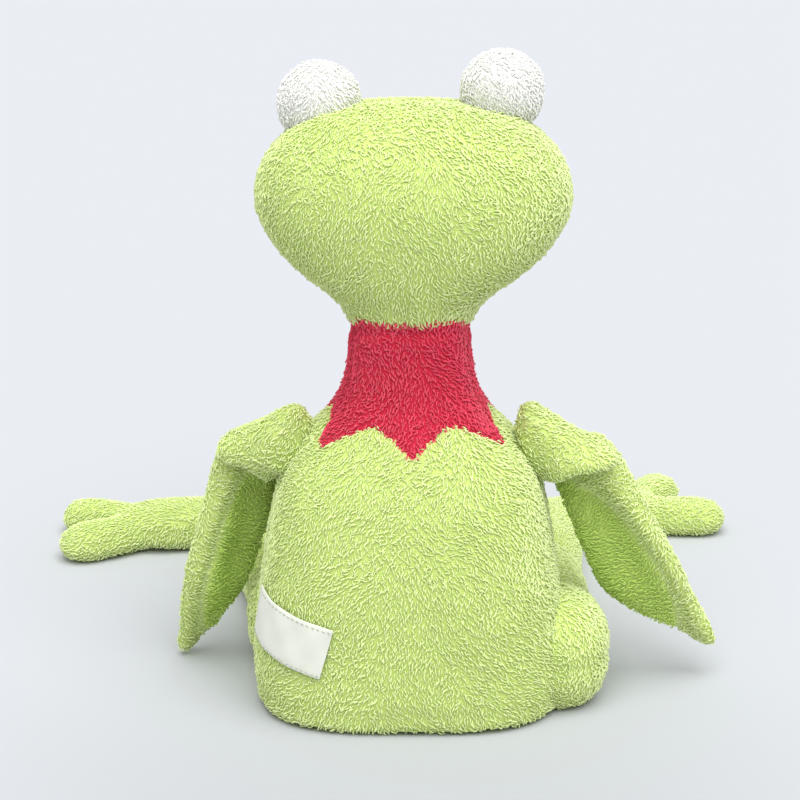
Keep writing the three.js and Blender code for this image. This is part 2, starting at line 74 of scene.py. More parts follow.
# Places of the joints, from the frame
JOINT_AT = {joint["name"]: np.array(joint["pos_m"]) / MM for joint in frame["joints"]}
JOINT_AXIS = {joint["name"]: np.array(joint["axis"]) for joint in frame["joints"]}


def node_box(node):
    """Lowest and highest corner of a node of the frame, in millimetres."""
    low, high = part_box(node)
    return np.array(low) / MM, np.array(high) / MM


def linear(red, green, blue):
    """Linear colour of an 8-bit display colour."""
    def channel(value):
        share = value / 255
        return share / 12.92 if share <= 0.04045 else ((share + 0.055) / 1.055) ** 2.4
    return (channel(red), channel(green), channel(blue), 1.0)


def length_property(name, description, default, low=0.0):
    return bpy.props.FloatProperty(
        name=name, description=description, default=default, min=low, precision=4, unit="LENGTH")


def colour_property(name, description, default):
    return bpy.props.FloatVectorProperty(
        name=name, description=description, default=default, size=4, min=0, max=1, subtype="COLOR")


def share_property(name, description, default):
    return bpy.props.FloatProperty(
        name=name, description=description, default=default, min=0, max=2, subtype="FACTOR")


class FrogSizes(bpy.types.PropertyGroup):
    """Sizes of the stuffed forms, outside of the pile"""
    torso_width: length_property("Torso width", "Across the fullest part of the torso", 0.133)
    torso_depth: length_property("Torso depth", "Front to back of the torso", 0.106)
    neck_radius: length_property("Neck radius", "Half across the neck at its seam with the head", 0.0265)
    ring_height: length_property("Neck seam height", "Floor to the seam of neck and head", 0.159)
    head_width: length_property("Head width", "Across the head", 0.1355)
    head_depth: length_property("Head depth", "Front to back of the head", 0.110)
    head_height: length_property("Head height", "Neck seam to crown", 0.094)
    eye_radius: length_property("Eye radius", "Half across an eye ball", 0.0178)
    arm_width: length_property("Arm width", "Across the flat of an arm", 0.037)
    arm_thickness: length_property("Arm thickness", "Through the stuffing of an arm", 0.024)
    forearm_length: length_property("Forearm length", "Elbow fold to the hand's tip", 0.105)
    leg_width: length_property("Leg width", "Across a thigh", 0.042)
    shin_height: length_property("Shin height", "Floor to the top of a shin at the knee", 0.040)
    foot_length: length_property("Foot length", "Ankle to the tips of the toes", 0.089)
    foot_height: length_property("Foot height", "Floor to the top of a foot", 0.023)
    label_length: length_property("Label length", "Long side of the woven label", 0.040)
    label_height: length_property("Label height", "Short side of the woven label", 0.022)
    pupil_radius: length_property("Pupil radius", "Half across a felt pupil", 0.0065)


class FrogPile(bpy.types.PropertyGroup):
    """Loops of the terry cloth"""
    loop_length: length_property("Loop length", "Length of a pile loop", 0.0020)
    loop_thickness: length_property("Loop thickness", "Thickness of a loop's yarn", 0.00068)
    loop_spacing: length_property("Loop spacing", "Least distance between two loops", 0.00097)
    pile_height: length_property("Pile height", "How far the pile stands over its cloth", 0.0019)
    flow_size: length_property("Flow size", "Size of the swirls that the pile lies in", 0.024)
    flow_strength: share_property("Flow strength", "How far the swirls turn the pile", 1.0)
    jitter: share_property("Jitter", "How far single loops turn from their neighbours", 0.6)


class FrogColours(bpy.types.PropertyGroup):
    """Colours of yarns and cloths"""
    # Roots are deeper than the lit tips: painted shade down in the pile
    green_tip: colour_property("Green tips", "Lit ends of the green loops", linear(233, 247, 178))
    green_root: colour_property("Green roots", "Foot of the green loops", linear(214, 234, 134))
    # Painted shade: a deeper, more saturated green for the flat of each forearm, in shade under its fold
    green_painted_shade: colour_property("Green nap", "Green loops stroked the other way", linear(210, 240, 114))
    green_cloth: colour_property("Green cloth", "Ground under the green loops", linear(216, 236, 138))
    red_tip: colour_property("Red tips", "Lit ends of the red loops", linear(240, 74, 104))
    red_root: colour_property("Red roots", "Foot of the red loops", linear(218, 46, 76))
    red_cloth: colour_property("Red cloth", "Ground under the red loops", linear(214, 44, 72))
    white_tip: colour_property("White tips", "Lit ends of the white loops", linear(252, 252, 248))
    white_root: colour_property("White roots", "Foot of the white loops", linear(249, 249, 244))
    white_cloth: colour_property("White cloth", "Ground under the white loops", linear(249, 249, 244))
    label: colour_property("Label", "Woven label", linear(243, 245, 232))
    label_thread: colour_property("Label thread", "Thread that sews the label on", linear(205, 214, 196))
    felt: colour_property("Felt", "Black felt of the pupils", linear(26, 27, 30))
    face_thread: colour_property("Face thread", "Stitched mouth and nostrils", linear(70, 98, 40))
    floor: colour_property("Floor", "Floor", linear(197, 200, 205))
    backdrop: colour_property("Backdrop", "Backdrop past the floor's edge", linear(233, 238, 244))


def sizes():
    return bpy.context.scene.frog_sizes


def pile():
    return bpy.context.scene.frog_pile


def colours():
    return bpy.context.scene.frog_colours


# Node graphs


class Socket:
    """An output socket that takes part in Python sums."""

    def __init__(self, graph, socket):
        self.graph = graph
        self.socket = socket

    def __add__(self, other):
        return self.graph.math("ADD", self, other)

    def __radd__(self, other):
        return self.graph.math("ADD", other, self)

    def __sub__(self, other):
        return self.graph.math("SUBTRACT", self, other)

    def __rsub__(self, other):
        return self.graph.math("SUBTRACT", other, self)

    def __mul__(self, other):
        return self.graph.math("MULTIPLY", self, other)

    def __rmul__(self, other):
        return self.graph.math("MULTIPLY", other, self)

    def __truediv__(self, other):
        return self.graph.math("DIVIDE", self, other)

    def __rtruediv__(self, other):
        return self.graph.math("DIVIDE", other, self)


class Graph:
    """Adds nodes to a shader tree or a geometry tree."""

    def __init__(self, tree):
        self.tree = tree

    def add(self, kind, settings=None, values=None, out=0):
        """One node: its settings first, then values or links of its sockets, by name or place."""
        node = self.tree.nodes.new(kind)
        for name, value in (settings or {}).items():
            setattr(node, name, value)
        for key, value in (values or {}).items():
            if isinstance(value, Socket):
                self.tree.links.new(value.socket, node.inputs[key])
            else:
                node.inputs[key].default_value = value
        return Socket(self, node.outputs[out])

    def also(self, socket, out):
        """Another output of the same node."""
        return Socket(self, socket.socket.node.outputs[out])

    def math(self, operation, first, second):
        return self.add("ShaderNodeMath", {"operation": operation}, {0: first, 1: second})

    def vector(self, operation, first, second=None, scale=None):
        values = {0: first}
        if second is not None:
            values[1] = second
        if scale is not None:
            values["Scale"] = scale
        return self.add("ShaderNodeVectorMath", {"operation": operation}, values)

    def mix(self, factor, first, second, blend="MIX"):
        settings = {"data_type": "RGBA", "blend_type": blend, "clamp_factor": True}
        return self.add("ShaderNodeMix", settings, {0: factor, 6: first, 7: second}, out=2)

    def clamp(self, value, low=0.0, high=1.0):
        return self.add("ShaderNodeClamp", None, {"Value": value, "Min": low, "Max": high})

    def smooth_step(self, value, low, high):
        settings = {"interpolation_type": "SMOOTHSTEP"}
        return self.add("ShaderNodeMapRange", settings, {0: value, 1: low, 2: high, 3: 0.0, 4: 1.0})

    def noise(self, vector, scale, detail=2.0, roughness=0.5):
        return self.add("ShaderNodeTexNoise", None, {
            "Vector": vector, "Scale": scale, "Detail": detail, "Roughness": roughness})

    def add_output(self, socket):
        output = self.tree.nodes.new("NodeGroupOutput")
        self.tree.links.new(socket.socket, output.inputs[0])


# Materials
ROOT_TO_TIP = (0.05, 0.62)  # where along a loop its colour turns from the painted shade of the root to the lit tip
DEEP_SHARE = 0.28  # how much of the root's colour the deepest loops have
YARN_VARIATION = 0.5
DARKER_CLOTH = 0.8
PALE_SEAM = linear(206, 222, 160)  # thread where two green panels are sewn together
WEAVE_PITCH = 0.0009
CLOUD_SCALE = 90.0


def new_material(name):
    """An empty material with its graph and shader."""
    material = bpy.data.materials.new(name)
    material.use_nodes = True
    graph = Graph(material.node_tree)
    shader = material.node_tree.nodes["Principled BSDF"]
    return material, graph, shader


def attribute(graph, name):
    return graph.add("ShaderNodeAttribute", {"attribute_name": name}, out="Fac")


def object_point(graph):
    return graph.add("ShaderNodeTexCoord", out="Object")


def bump(graph, shader, height, strength, distance):
    normal = graph.add("ShaderNodeBump", None, {
        "Strength": strength, "Distance": distance, "Height": height})
    graph.tree.links.new(normal.socket, shader.inputs["Normal"])


def set_base(graph, shader, colour, roughness, sheen=0.0, specular=0.25):
    graph.tree.links.new(colour.socket, shader.inputs["Base Color"])
    shader.inputs["Roughness"].default_value = roughness
    shader.inputs["Sheen Weight"].default_value = sheen
    shader.inputs["Sheen Roughness"].default_value = 0.6
    shader.inputs["Specular IOR Level"].default_value = specular


def pile_material(name, root, tip, nap):
    """Yarn of a loop: deeper at its foot, as painted shade, and each loop a little lighter or deeper than
    the next.

    The upper half of the tint is the loop's own tone. Below that, the loop takes on the painted shade
    colour of the shaded forearm flats.
    """
    material, graph, shader = new_material(name)
    along = attribute(graph, "along")
    tint_twice = attribute(graph, "tint") * 2.0
    tint = graph.clamp(tint_twice - 1.0)
    lit = graph.smooth_step(along, *ROOT_TO_TIP)
    colour = graph.mix(lit, tuple(root), tuple(tip))
    deep = tuple((1 - DEEP_SHARE) * a + DEEP_SHARE * b for a, b in zip(tip, root))[:3] + (1.0,)
    colour = graph.mix((1.0 - tint) * YARN_VARIATION, colour, deep)
    # painted shade where the tint is below one half
    colour = graph.mix(graph.clamp(1.0 - tint_twice), colour, tuple(nap))
    set_base(graph, shader, colour, roughness=0.85, sheen=0.2, specular=0.15)
    return material


def cloth_material(name, ground, seam):
    """Woven ground of the terry, with paler thread where two panels are sewn together."""
    material, graph, shader = new_material(name)
    point = object_point(graph)
    waves = graph.vector("SINE", graph.vector("SCALE", point, scale=2 * math.pi / WEAVE_PITCH))
    parts = graph.add("ShaderNodeSeparateXYZ", None, {0: waves})
    height = parts * graph.also(parts, 1) + graph.also(parts, 2) * 0.5
    cloudy = graph.noise(point, CLOUD_SCALE, detail=3.0)
    darker = tuple(DARKER_CLOTH * channel for channel in ground[:3]) + (1.0,)
    colour = graph.mix(cloudy, darker, tuple(ground))
    colour = graph.mix(attribute(graph, "seam"), colour, seam)
    set_base(graph, shader, colour, roughness=0.95, sheen=0.1, specular=0.1)
    bump(graph, shader, height, strength=0.35, distance=0.0003)
    return material


def label_material():
    """Fine plain weave, with ribs along the label and a slightly uneven shade."""
    material, graph, shader = new_material("label_weave")
    uv = graph.add("ShaderNodeUVMap", {"uv_map": "label"})
    parts = graph.add("ShaderNodeSeparateXYZ", None, {0: uv})
    across = graph.also(parts, 1)
    ribs_along, ribs_across = 150.0, 96.0
    rib_share, pick_share = 0.3, 0.2
    cloud_scale, cloud_share, shade_share = 160.0, 0.55, 0.86
    rib = graph.add("ShaderNodeMath", {"operation": "SINE"}, {0: across * (ribs_across * 2 * math.pi)})
    pick = graph.add("ShaderNodeMath", {"operation": "SINE"}, {0: parts * (ribs_along * 2 * math.pi)})
    cloudy = graph.noise(object_point(graph), cloud_scale, detail=4.0)
    weave = rib * rib_share + pick * pick_share + 0.5
    base = tuple(colours().label)
    shade = tuple(shade_share * channel for channel in base[:3]) + (1.0,)
    colour = graph.mix(graph.clamp(weave * (1 - cloud_share) + cloudy * cloud_share), shade, base)
    set_base(graph, shader, colour, roughness=0.62, sheen=0.15, specular=0.35)
    bump(graph, shader, rib + pick * 0.6 + cloudy * 1.2, strength=0.3, distance=0.00012)
    return material


def felt_material():
    material, graph, shader = new_material("black_felt")
    point = object_point(graph)
    fuzz_scale, mat_scale = 2600.0, 420.0
    mat_share, lighter_by = 0.3, 2.6
    fuzz = graph.noise(point, fuzz_scale, detail=4.0, roughness=0.7)
    mats = graph.noise(point, mat_scale, detail=3.0)
    base = tuple(colours().felt)
    lighter = tuple(min(1.0, lighter_by * channel + 0.01) for channel in base[:3]) + (1.0,)
    colour = graph.mix(graph.clamp(fuzz * (1 - mat_share) + mats * mat_share), base, lighter)
    set_base(graph, shader, colour, roughness=0.9, sheen=0.3, specular=0.2)
    bump(graph, shader, fuzz + mats * 0.7, strength=0.6, distance=0.0003)
    return material


def thread_material(name, base):
    """Twisted thread: fine slanting plies."""
    material, graph, shader = new_material(name)
    point = object_point(graph)
    ply_pitch, darker_share = 0.0007, 0.62
    plies = graph.add("ShaderNodeTexWave", {"wave_type": "BANDS", "bands_direction": "DIAGONAL"}, {
        "Vector": point, "Scale": 1 / ply_pitch / 3, "Distortion": 0.6, "Detail": 1.0})
    darker = tuple(darker_share * channel for channel in base[:3]) + (1.0,)
    colour = graph.mix(plies, darker, tuple(base))
    set_base(graph, shader, colour, roughness=0.6, sheen=0.1, specular=0.3)
    bump(graph, shader, plies, strength=0.5, distance=0.0002)
    return material


# Meshes


def mesh_object(name, points, faces):
    """An object from points in millimetres."""
    mesh = bpy.data.meshes.new(name)
    mesh.from_pydata((np.asarray(points) * MM).tolist(), [], faces)
    obj = bpy.data.objects.new(name, mesh)
    bpy.context.scene.collection.objects.link(obj)
    return obj


def mesh_points(mesh):
    values = np.empty(3 * len(mesh.vertices))
    mesh.vertices.foreach_get("co", values)
    return values.reshape(-1, 3) / MM


def mesh_normals(mesh):
    values = np.empty(3 * len(mesh.vertices))
    mesh.vertex_normals.foreach_get("vector", values)
    return values.reshape(-1, 3)


def move_points(mesh, points):
    mesh.vertices.foreach_set("co", (np.asarray(points) * MM).ravel())
    mesh.update()


def store(mesh, name, values, kind="FLOAT"):
    layer = mesh.attributes.new(name, kind, "POINT")
    key = "vector" if kind == "FLOAT_VECTOR" else "value"
    layer.data.foreach_set(key, np.asarray(values, dtype=float).ravel())


def finish_modifiers(obj):
    """Puts what the modifiers give into the object's own mesh."""
    depsgraph = bpy.context.evaluated_depsgraph_get()
    made = bpy.data.meshes.new_from_object(obj.evaluated_get(depsgraph))
    old = obj.data
    obj.modifiers.clear()
    obj.data = made
    bpy.data.meshes.remove(old)
    made.name = obj.name
    return made


def part_of(obj, name, keep):
    """A new object with the faces of obj for which keep is true."""
    shape = bmesh.new()
    shape.from_mesh(obj.data)
    shape.faces.ensure_lookup_table()
    spare = [face for face, kept in zip(shape.faces, keep) if not kept]
    bmesh.ops.delete(shape, geom=spare, context="FACES")
    mesh = bpy.data.meshes.new(name)
    shape.to_mesh(mesh)
    shape.free()
    part = bpy.data.objects.new(name, mesh)
    bpy.context.scene.collection.objects.link(part)
    return part


def face_centres(mesh):
    values = np.empty(3 * len(mesh.polygons))
    mesh.polygons.foreach_get("center", values)
    return values.reshape(-1, 3) / MM


# Stuffed forms


def unit(vector):
    vector = np.asarray(vector, dtype=float)
    return vector / np.linalg.norm(vector)


def between(low, high, share):
    return low + (high - low) * share


def smooth_rows(rows, steps):
    """Rows on a smooth curve through the given ones."""
    rows = np.asarray(rows, dtype=float)
    ends = np.vstack([2 * rows[0] - rows[1], rows, 2 * rows[-1] - rows[-2]])
    out = []
    for i in range(len(rows) - 1):
        before, start, end, after = ends[i:i + 4]
        for step in range(steps):
            t = step / steps
            out.append(0.5 * (
                2 * start + (end - before) * t + (2 * before - 5 * start + 4 * end - after) * t ** 2
                + (3 * start - before - 3 * end + after) * t ** 3))
    out.append(rows[-1])
    return np.array(out)


PILLOW_POWER = 2.25  # 2 is an oval section, more is squarer
THINNEST = 0.3  # half of the least width of a limb's end


def loft(rows, count=40, steps=5, power=PILLOW_POWER):
    """Points and faces of a closed skin. A row is a centre, half the way across and half through."""
    rows = smooth_rows(rows, steps)
    angle = np.linspace(0, 2 * np.pi, count, endpoint=False)
    across = np.sign(np.cos(angle)) * np.abs(np.cos(angle)) ** (2 / power)
    through = np.sign(np.sin(angle)) * np.abs(np.sin(angle)) ** (2 / power)
    rings = (rows[:, None, 0:3] + across[None, :, None] * rows[:, None, 3:6]
             + through[None, :, None] * rows[:, None, 6:9])
    points = np.vstack([rings.reshape(-1, 3), rows[0, 0:3], rows[-1, 0:3]])
    first = len(rows) * count
    last_ring = first - count
    faces = []
    for i in range(count):
        following = (i + 1) % count
        faces.append((first, following, i))
        faces.append((first + 1, last_ring + i, last_ring + following))
        for ring in range(0, last_ring, count):
            faces.append((ring + i, ring + following, ring + count + following, ring + count + i))
    return points, faces


def ball_rows(centre, radii, count=9, power=2.0):
    """Rows of a squashed ball, bottom to top. A power over 2 is squarer."""
    rows = []
    for angle in np.linspace(-np.pi / 2, np.pi / 2, count):
        round_share = max(math.cos(angle), 0.001) ** (2 / power)
        height = np.sign(angle) * abs(math.sin(angle)) ** (2 / power)
        middle = centre + UP * radii[2] * height
        rows.append([*middle, radii[0] * round_share, 0, 0, 0, radii[1] * round_share, 0])
    return rows


def limb_rows(start, direction, across, length, width, thickness, profile, inset):
    """Rows of a limb. A profile row is the distance along, the width and the thickness as shares."""
    direction = unit(direction)
    through = unit(np.cross(direction, across))
    broad = np.cross(through, direction)
    rows = []
    for along, wide, thick in profile:
        centre = start + direction * length * along
        half_width = max(width * wide / 2 - inset, THINNEST)
        half_thickness = max(thickness * thick / 2 - inset, THINNEST)
        rows.append([*centre, *(broad * half_width), *(through * half_thickness)])
    return rows


# A seam is a plane that cuts a stuffed form: how deep its groove is and how bare of pile
Seam = namedtuple("Seam", "point normal depth bare")
GROOVE_WIDTH = 3.2
BARE_WIDTH = 0.7
FLOOR_CONTACT = 1.0  # the cloth under a part rests this far over the floor
LEVEL_BELOW = 8.0  # pile this near to the floor lies ever more level
SOLE_BELOW = 1.6  # cloth lower than this that looks down is pressed on the floor, and has no pile
SOLE_LOOKS_DOWN = -0.5
BARE_GAIN = 1.25  # a seam of 0.8 and more is quite bare


def groove(distance, depth, width):
    """How deep a groove is at a distance from its middle."""
    return depth * np.exp(-(distance / width) ** 2)


def seam_weight(points, seams, width, key):
    """How strongly the seams act on each point, from 0 to the seam's own value."""
    weight = np.zeros(len(points))
    for seam in seams:
        distance = np.abs((points - seam.point) @ unit(seam.normal))
        weight = np.maximum(weight, groove(distance, getattr(seam, key), width))
    return weight


VOXEL = 0.004
FINE_VOXEL = 0.003
SMOOTH_SHARE = 0.5
SMOOTH_STEPS = 3
SOFT_FRAMES = 20
STUFFING_PRESSURE = 4.0
CLOTH_MASS = 0.3
CLOTH_STIFFNESS = 12
CLOTH_BENDING = 0.4
CLOTH_QUALITY = 4
HELD_FROM = 0.3  # cloth this near to a seam, as a share, is held by it
# Forms are lofted this much smaller, because their stuffing presses them out again
BODY_SWELL = 0.8
LIMB_SWELL = 0.5
FOOT_SWELL = 0.4


def press_out(obj, seams, cap):
    """Lets the stuffing press the cloth out between its seams, no further than cap."""
    mesh = obj.data
    start = mesh_points(mesh)
    sewn = [seam._replace(depth=1.0) for seam in seams]
    held = seam_weight(start, sewn, GROOVE_WIDTH, "depth")
    group = obj.vertex_groups.new(name="sewn")
    for index in np.nonzero(held > HELD_FROM)[0]:
        group.add([int(index)], float(min(held[index], 1.0)), "REPLACE")
    cloth = obj.modifiers.new("stuffing", "CLOTH")
    settings = cloth.settings
    settings.quality = CLOTH_QUALITY
    settings.mass = CLOTH_MASS
    settings.tension_stiffness = CLOTH_STIFFNESS
    settings.compression_stiffness = CLOTH_STIFFNESS
    settings.bending_stiffness = CLOTH_BENDING
    settings.use_pressure = True
    settings.uniform_pressure_force = STUFFING_PRESSURE
    settings.vertex_group_mass = group.name
    settings.effector_weights.gravity = 0
    cloth.collision_settings.use_collision = False
    cloth.point_cache.frame_start = 1
    cloth.point_cache.frame_end = SOFT_FRAMES
    scene = bpy.context.scene
    for step in range(1, SOFT_FRAMES + 1):
        scene.frame_set(step)
    depsgraph = bpy.context.evaluated_depsgraph_get()
    swollen = bpy.data.meshes.new_from_object(obj.evaluated_get(depsgraph))
    moved = mesh_points(swollen) - start
    bpy.data.meshes.remove(swollen)
    obj.modifiers.clear()
    obj.vertex_groups.clear()
    scene.frame_set(1)
    far = np.linalg.norm(moved, axis=1, keepdims=True)
    move_points(mesh, start + moved * np.minimum(1.0, cap / np.maximum(far, 1e-6)))


def stuffed_cloth(name, lofts, seams=(), cap=1.6, voxel=VOXEL, rests=True):
    """One closed padded skin from overlapping forms, pressed out by its stuffing, with its seams."""
    points, faces = [], []
    for form_points, form_faces in lofts:
        base = sum(len(part) for part in points)
        faces += [tuple(base + i for i in face) for face in form_faces]
        points.append(form_points)
    obj = mesh_object(name, np.vstack(points), faces)
    shape = bmesh.new()
    shape.from_mesh(obj.data)
    bmesh.ops.remove_doubles(shape, verts=shape.verts, dist=1e-6)
    bmesh.ops.recalc_face_normals(shape, faces=shape.faces)
    shape.to_mesh(obj.data)
    shape.free()
    remesh = obj.modifiers.new("even", "REMESH")
    remesh.mode = "VOXEL"
    remesh.voxel_size = voxel
    remesh.use_smooth_shade = True
    soften = obj.modifiers.new("soften", "SMOOTH")
    soften.factor = SMOOTH_SHARE
    soften.iterations = SMOOTH_STEPS
    finish_modifiers(obj)
    press_out(obj, seams, cap)
    finer = obj.modifiers.new("finer", "SUBSURF")
    finer.levels = finer.render_levels = 1
    mesh = finish_modifiers(obj)
    found = mesh_points(mesh)
    sunk = seam_weight(found, seams, GROOVE_WIDTH, "depth")
    found = found - mesh_normals(mesh) * sunk[:, None]
    if rests:
        found[:, 2] = np.maximum(found[:, 2], FLOOR_CONTACT)
    move_points(mesh, found)
    return obj


def groom_cloth(obj, seams, flow, rests=True, bare=None):
    """Stores where pile grows on a cloth, and which way it lies."""
    mesh = obj.data
    points = mesh_points(mesh)
    normals = mesh_normals(mesh)
    sewn = seam_weight(points, seams, BARE_WIDTH, "bare")
    cover = 1 - np.clip(BARE_GAIN * sewn, 0, 1)
    if rests:
        cover[(points[:, 2] < SOLE_BELOW) & (normals[:, 2] < SOLE_LOOKS_DOWN)] = 0
    if bare is not None:
        cover = cover * (1 - bare(points))
    store(mesh, "pile", cover)
    store(mesh, "seam", np.clip(sewn, 0, 1))
    lie = flow(points)
    if rests:
        lie[:, 2] *= np.clip(points[:, 2] / LEVEL_BELOW, 0, 1)
    store(mesh, "groom", lie, "FLOAT_VECTOR")
    mesh.shade_smooth()


def steady_flow(out, back, rise, sign=1):
    """Pile that lies one way all over; sign is the side that out points to."""
    return lambda points: np.tile(unit([sign * out, back, rise]), (len(points), 1))


def spreading_flow(reach, aside, back):
    """Pile that lies down, and the more to the sides the further out it is, up to reach."""
    def flow(points):
        lie = np.zeros_like(points)
        lie[:, 0] = aside * np.clip(points[:, 0] / reach, -1, 1)
        lie[:, 1] = back
        lie[:, 2] = -1.0
        return lie
    return flow


# Rigging: what a piece rides on, or the two bodies a bend names and from where to where; a piece given a
# bend is only set in place, not bent
Ride = namedtuple("Ride", "body")
Bend = namedtuple("Bend", "first second start end")


def bend_at(first, second, joint, direction, before, after):
    """A bend from so far before a joint to so far after it."""
    return Bend(first, second, joint - direction * before, joint + direction * after)


def attach(obj, rig):
    if isinstance(rig, Ride):
        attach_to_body(obj, rig.body)
    else:
        tuple(rig.start * MM)
        tuple(rig.end * MM)
        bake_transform(obj)


# Cloths that wait for their pile
Cloth = namedtuple("Cloth", "obj rig yarn parts covered_by scale")
cloths = []


def stuffed_nodes(body, *panels):
    """The frame's nodes of a stuffed body: its panels and its stuffing."""
    return [f"{body}_{panel}" for panel in (*panels, "stuffing")]


def add_cloth(obj, rig, yarn, nodes, parts=1, covered_by=(), scale=1.0):
    """Gives a finished padded cloth its material and rig, hides its nodes of the frame, and keeps it for
    its pile.
    """
    obj.data.materials.clear()
    obj.data.materials.append(bpy.data.materials[yarn + "_cloth"])
    attach(obj, rig)
    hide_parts(*nodes)
    cloths.append(Cloth(obj, rig, yarn, parts, covered_by, scale))


# Torso, bottom to top: height, width and depth from the neck's size (0) to the fullest (1), shift
TORSO_SHARES = [
    (0.0, 0.93, 0.97, 0), (0.012, 0.98, 1.02, 0), (0.04, 1.0, 1.04, 0), (0.1, 1.015, 1.03, 0),
    (0.19, 1.0, 1.0, 0), (0.38, 0.905, 0.95, 0), (0.565, 0.77, 0.76, 0.15), (0.66, 0.62, 0.58, 0.3),
    (0.72, 0.42, 0.39, 0.45), (0.77, 0.23, 0.22, 0.65), (0.83, 0.09, 0.09, 0.85), (0.93, 0.01, 0.01, 1),
    (1.0, 0.0, 0.0, 1), (1.05, -0.04, -0.07, 1), (1.06, -0.5, -0.7, 1),
]
TORSO_SWAY = -1.6  # the torso's middle in X
TORSO_POWER = 3.0
NECK_FORWARD = 3.0  # how far the neck's seam is before the torso's middle
NECK_LEAN = 0.17
NECK_LEAN_BELOW = 26.0
NECK_LEAN_ABOVE = 34.0
SIDE_SEAM_BACK = 8.0
SEAT_SEAM = 9.0
COLLAR_POINT = 113.5  # heights of the zigzag's points and notches
COLLAR_NOTCH = 124.5
COLLAR_TURN = math.radians(2.0)
COLLAR_TEETH = 6
COLLAR_ROUNDNESS = 1.5  # 1 is a straight zigzag, more has rounder notches
COLLAR_SNAP = 1.3  # points this near to the zigzag are moved onto it
COLLAR_GROOVE = (0.7, 1.6)  # grooves are a depth and a width
NECK_GROOVE = (1.2, 2.2)
COLLAR_BEND_LOW = 2.0  # the collar's bend span starts this far under its notches
COLLAR_BEND_TOP = 3.0  # and ends this far under the neck's seam
COLLAR_PILE_SCALE = 0.96


def torso_rows(inset):
    size = sizes()
    ring = size.ring_height / MM
    neck = size.neck_radius / MM
    rows = []
    for height, wide, deep, shift in TORSO_SHARES:
        across = between(neck, size.torso_width / MM / 2, wide) - inset
        through = between(neck, size.torso_depth / MM / 2, deep) - inset
        rows.append([TORSO_SWAY, -NECK_FORWARD * shift, ring * height, across, 0, 0, 0, through, 0])
    return rows


def lean_neck(points):
    """Raises the back of the neck's seam, where the head leans forwards."""
    ring = sizes().ring_height / MM
    height = points[:, 2]
    near = np.clip((height - ring + NECK_LEAN_BELOW) / NECK_LEAN_BELOW, 0, 1)
    near = near * np.clip((ring + NECK_LEAN_ABOVE - height) / NECK_LEAN_ABOVE, 0, 1)
    leaning = points.copy()
    leaning[:, 2] += NECK_LEAN * np.maximum(points[:, 1] + NECK_FORWARD, 0) * near
    return leaning


def collar_line(points):
    """Height of the collar's zigzag edge at each point's place round the neck."""
    turn = np.arctan2(points[:, 1] + NECK_FORWARD, points[:, 0] - TORSO_SWAY) - np.pi / 2 - COLLAR_TURN
    share = np.mod(turn * COLLAR_TEETH / (2 * np.pi), 1.0)
    return between(COLLAR_POINT, COLLAR_NOTCH, 1 - np.abs(2 * share - 1) ** COLLAR_ROUNDNESS)


class FROG_OT_torso(bpy.types.Operator):
    """Makes the torso and the red zigzag collar of the neck"""
    bl_idname = "frog.torso"
    bl_label = "Torso and collar"

    def execute(self, context):
        inset = pile().pile_height / MM
        seams = [
            Seam(np.array([0, SIDE_SEAM_BACK, 0]), BACK, depth=1.1, bare=0.8),
            Seam(np.array([0, 0, SEAT_SEAM]), UP, depth=0.5, bare=0.3),
        ]
        form = loft(torso_rows(inset + BODY_SWELL), count=64, power=TORSO_POWER)
        body = stuffed_cloth("torso_whole", [form], seams, cap=1.0)
        mesh = body.data
        points = mesh_points(mesh)
        line = collar_line(points)
        near = np.abs(points[:, 2] - line) < COLLAR_SNAP
        points[near, 2] = line[near]
        move_points(mesh, points)
        ring_height = sizes().ring_height / MM
        height = points[:, 2]
        sunk = groove(height - line, *COLLAR_GROOVE) + groove(height - ring_height, *NECK_GROOVE)
        move_points(mesh, lean_neck(points - mesh_normals(mesh) * sunk[:, None]))
        groom_cloth(body, seams, spreading_flow(reach=45, aside=0.9, back=0.0), bare=label_cover())
        centres = face_centres(mesh)
        above = centres[:, 2] > collar_line(centres)
        collar = part_of(body, "neck_collar_cloth", above)
        torso = part_of(body, "torso_cloth", ~above)
        bpy.data.objects.remove(body)
        middle = np.array([0, -NECK_FORWARD, 0])
        limbs = [f"{limb}_{side}_cloth" for limb in ("thigh", "upper_arm") for side in SIDES]
        add_cloth(torso, Ride("torso"), "green",
                  stuffed_nodes("torso", "back_panel", "belly_panel", "seat_panel"),
                  parts=6, covered_by=limbs)
        collar_rig = Bend("torso", "neck", middle + UP * (COLLAR_NOTCH - COLLAR_BEND_LOW),
                          middle + UP * (ring_height - COLLAR_BEND_TOP))
        add_cloth(collar, collar_rig, "red", stuffed_nodes("neck", "collar"),
                  covered_by=("head_cloth",), scale=COLLAR_PILE_SCALE)
        return {"FINISHED"}


# Head, neck seam to crown: height, width and depth from the neck's size, and shift forwards
HEAD_SHARES = [
    (-0.004, -0.5, -0.7, 0.0), (0.0, 0.0, -0.01, 0.0), (0.05, 0.03, 0.06, 0.07), (0.12, 0.13, 0.24, 0.22),
    (0.19, 0.34, 0.45, 0.42), (0.27, 0.595, 0.66, 0.66), (0.37, 0.81, 0.85, 0.87), (0.5, 0.97, 0.97, 1.0),
    (0.63, 0.97, 0.9, 0.96), (0.76, 0.83, 0.68, 0.86), (0.89, 0.53, 0.22, 0.78), (0.94, 0.28, -0.06, 0.78),
    (0.965, -0.1, -0.38, 0.78), (0.975, -0.42, -0.62, 0.78),
]
HEAD_FORWARD = 18.0  # how far the head's fullest part is before the neck's seam
HEAD_SWAY = 3.1  # and how far to the right of X = 0
HEAD_LEAST = 0.5  # half of the least width and depth where the head closes
JAW_GROOVE = (0.8, 2.5)
NAPE_GROOVE = (0.9, 2.2)
NAPE_TOP = 22.0  # the groove up the nape ends this far over the neck's seam
NAPE_FADE = 10.0
HEAD_BEND = (8.0, 23.0)  # from where to where over the neck's seam the head's bend span lies
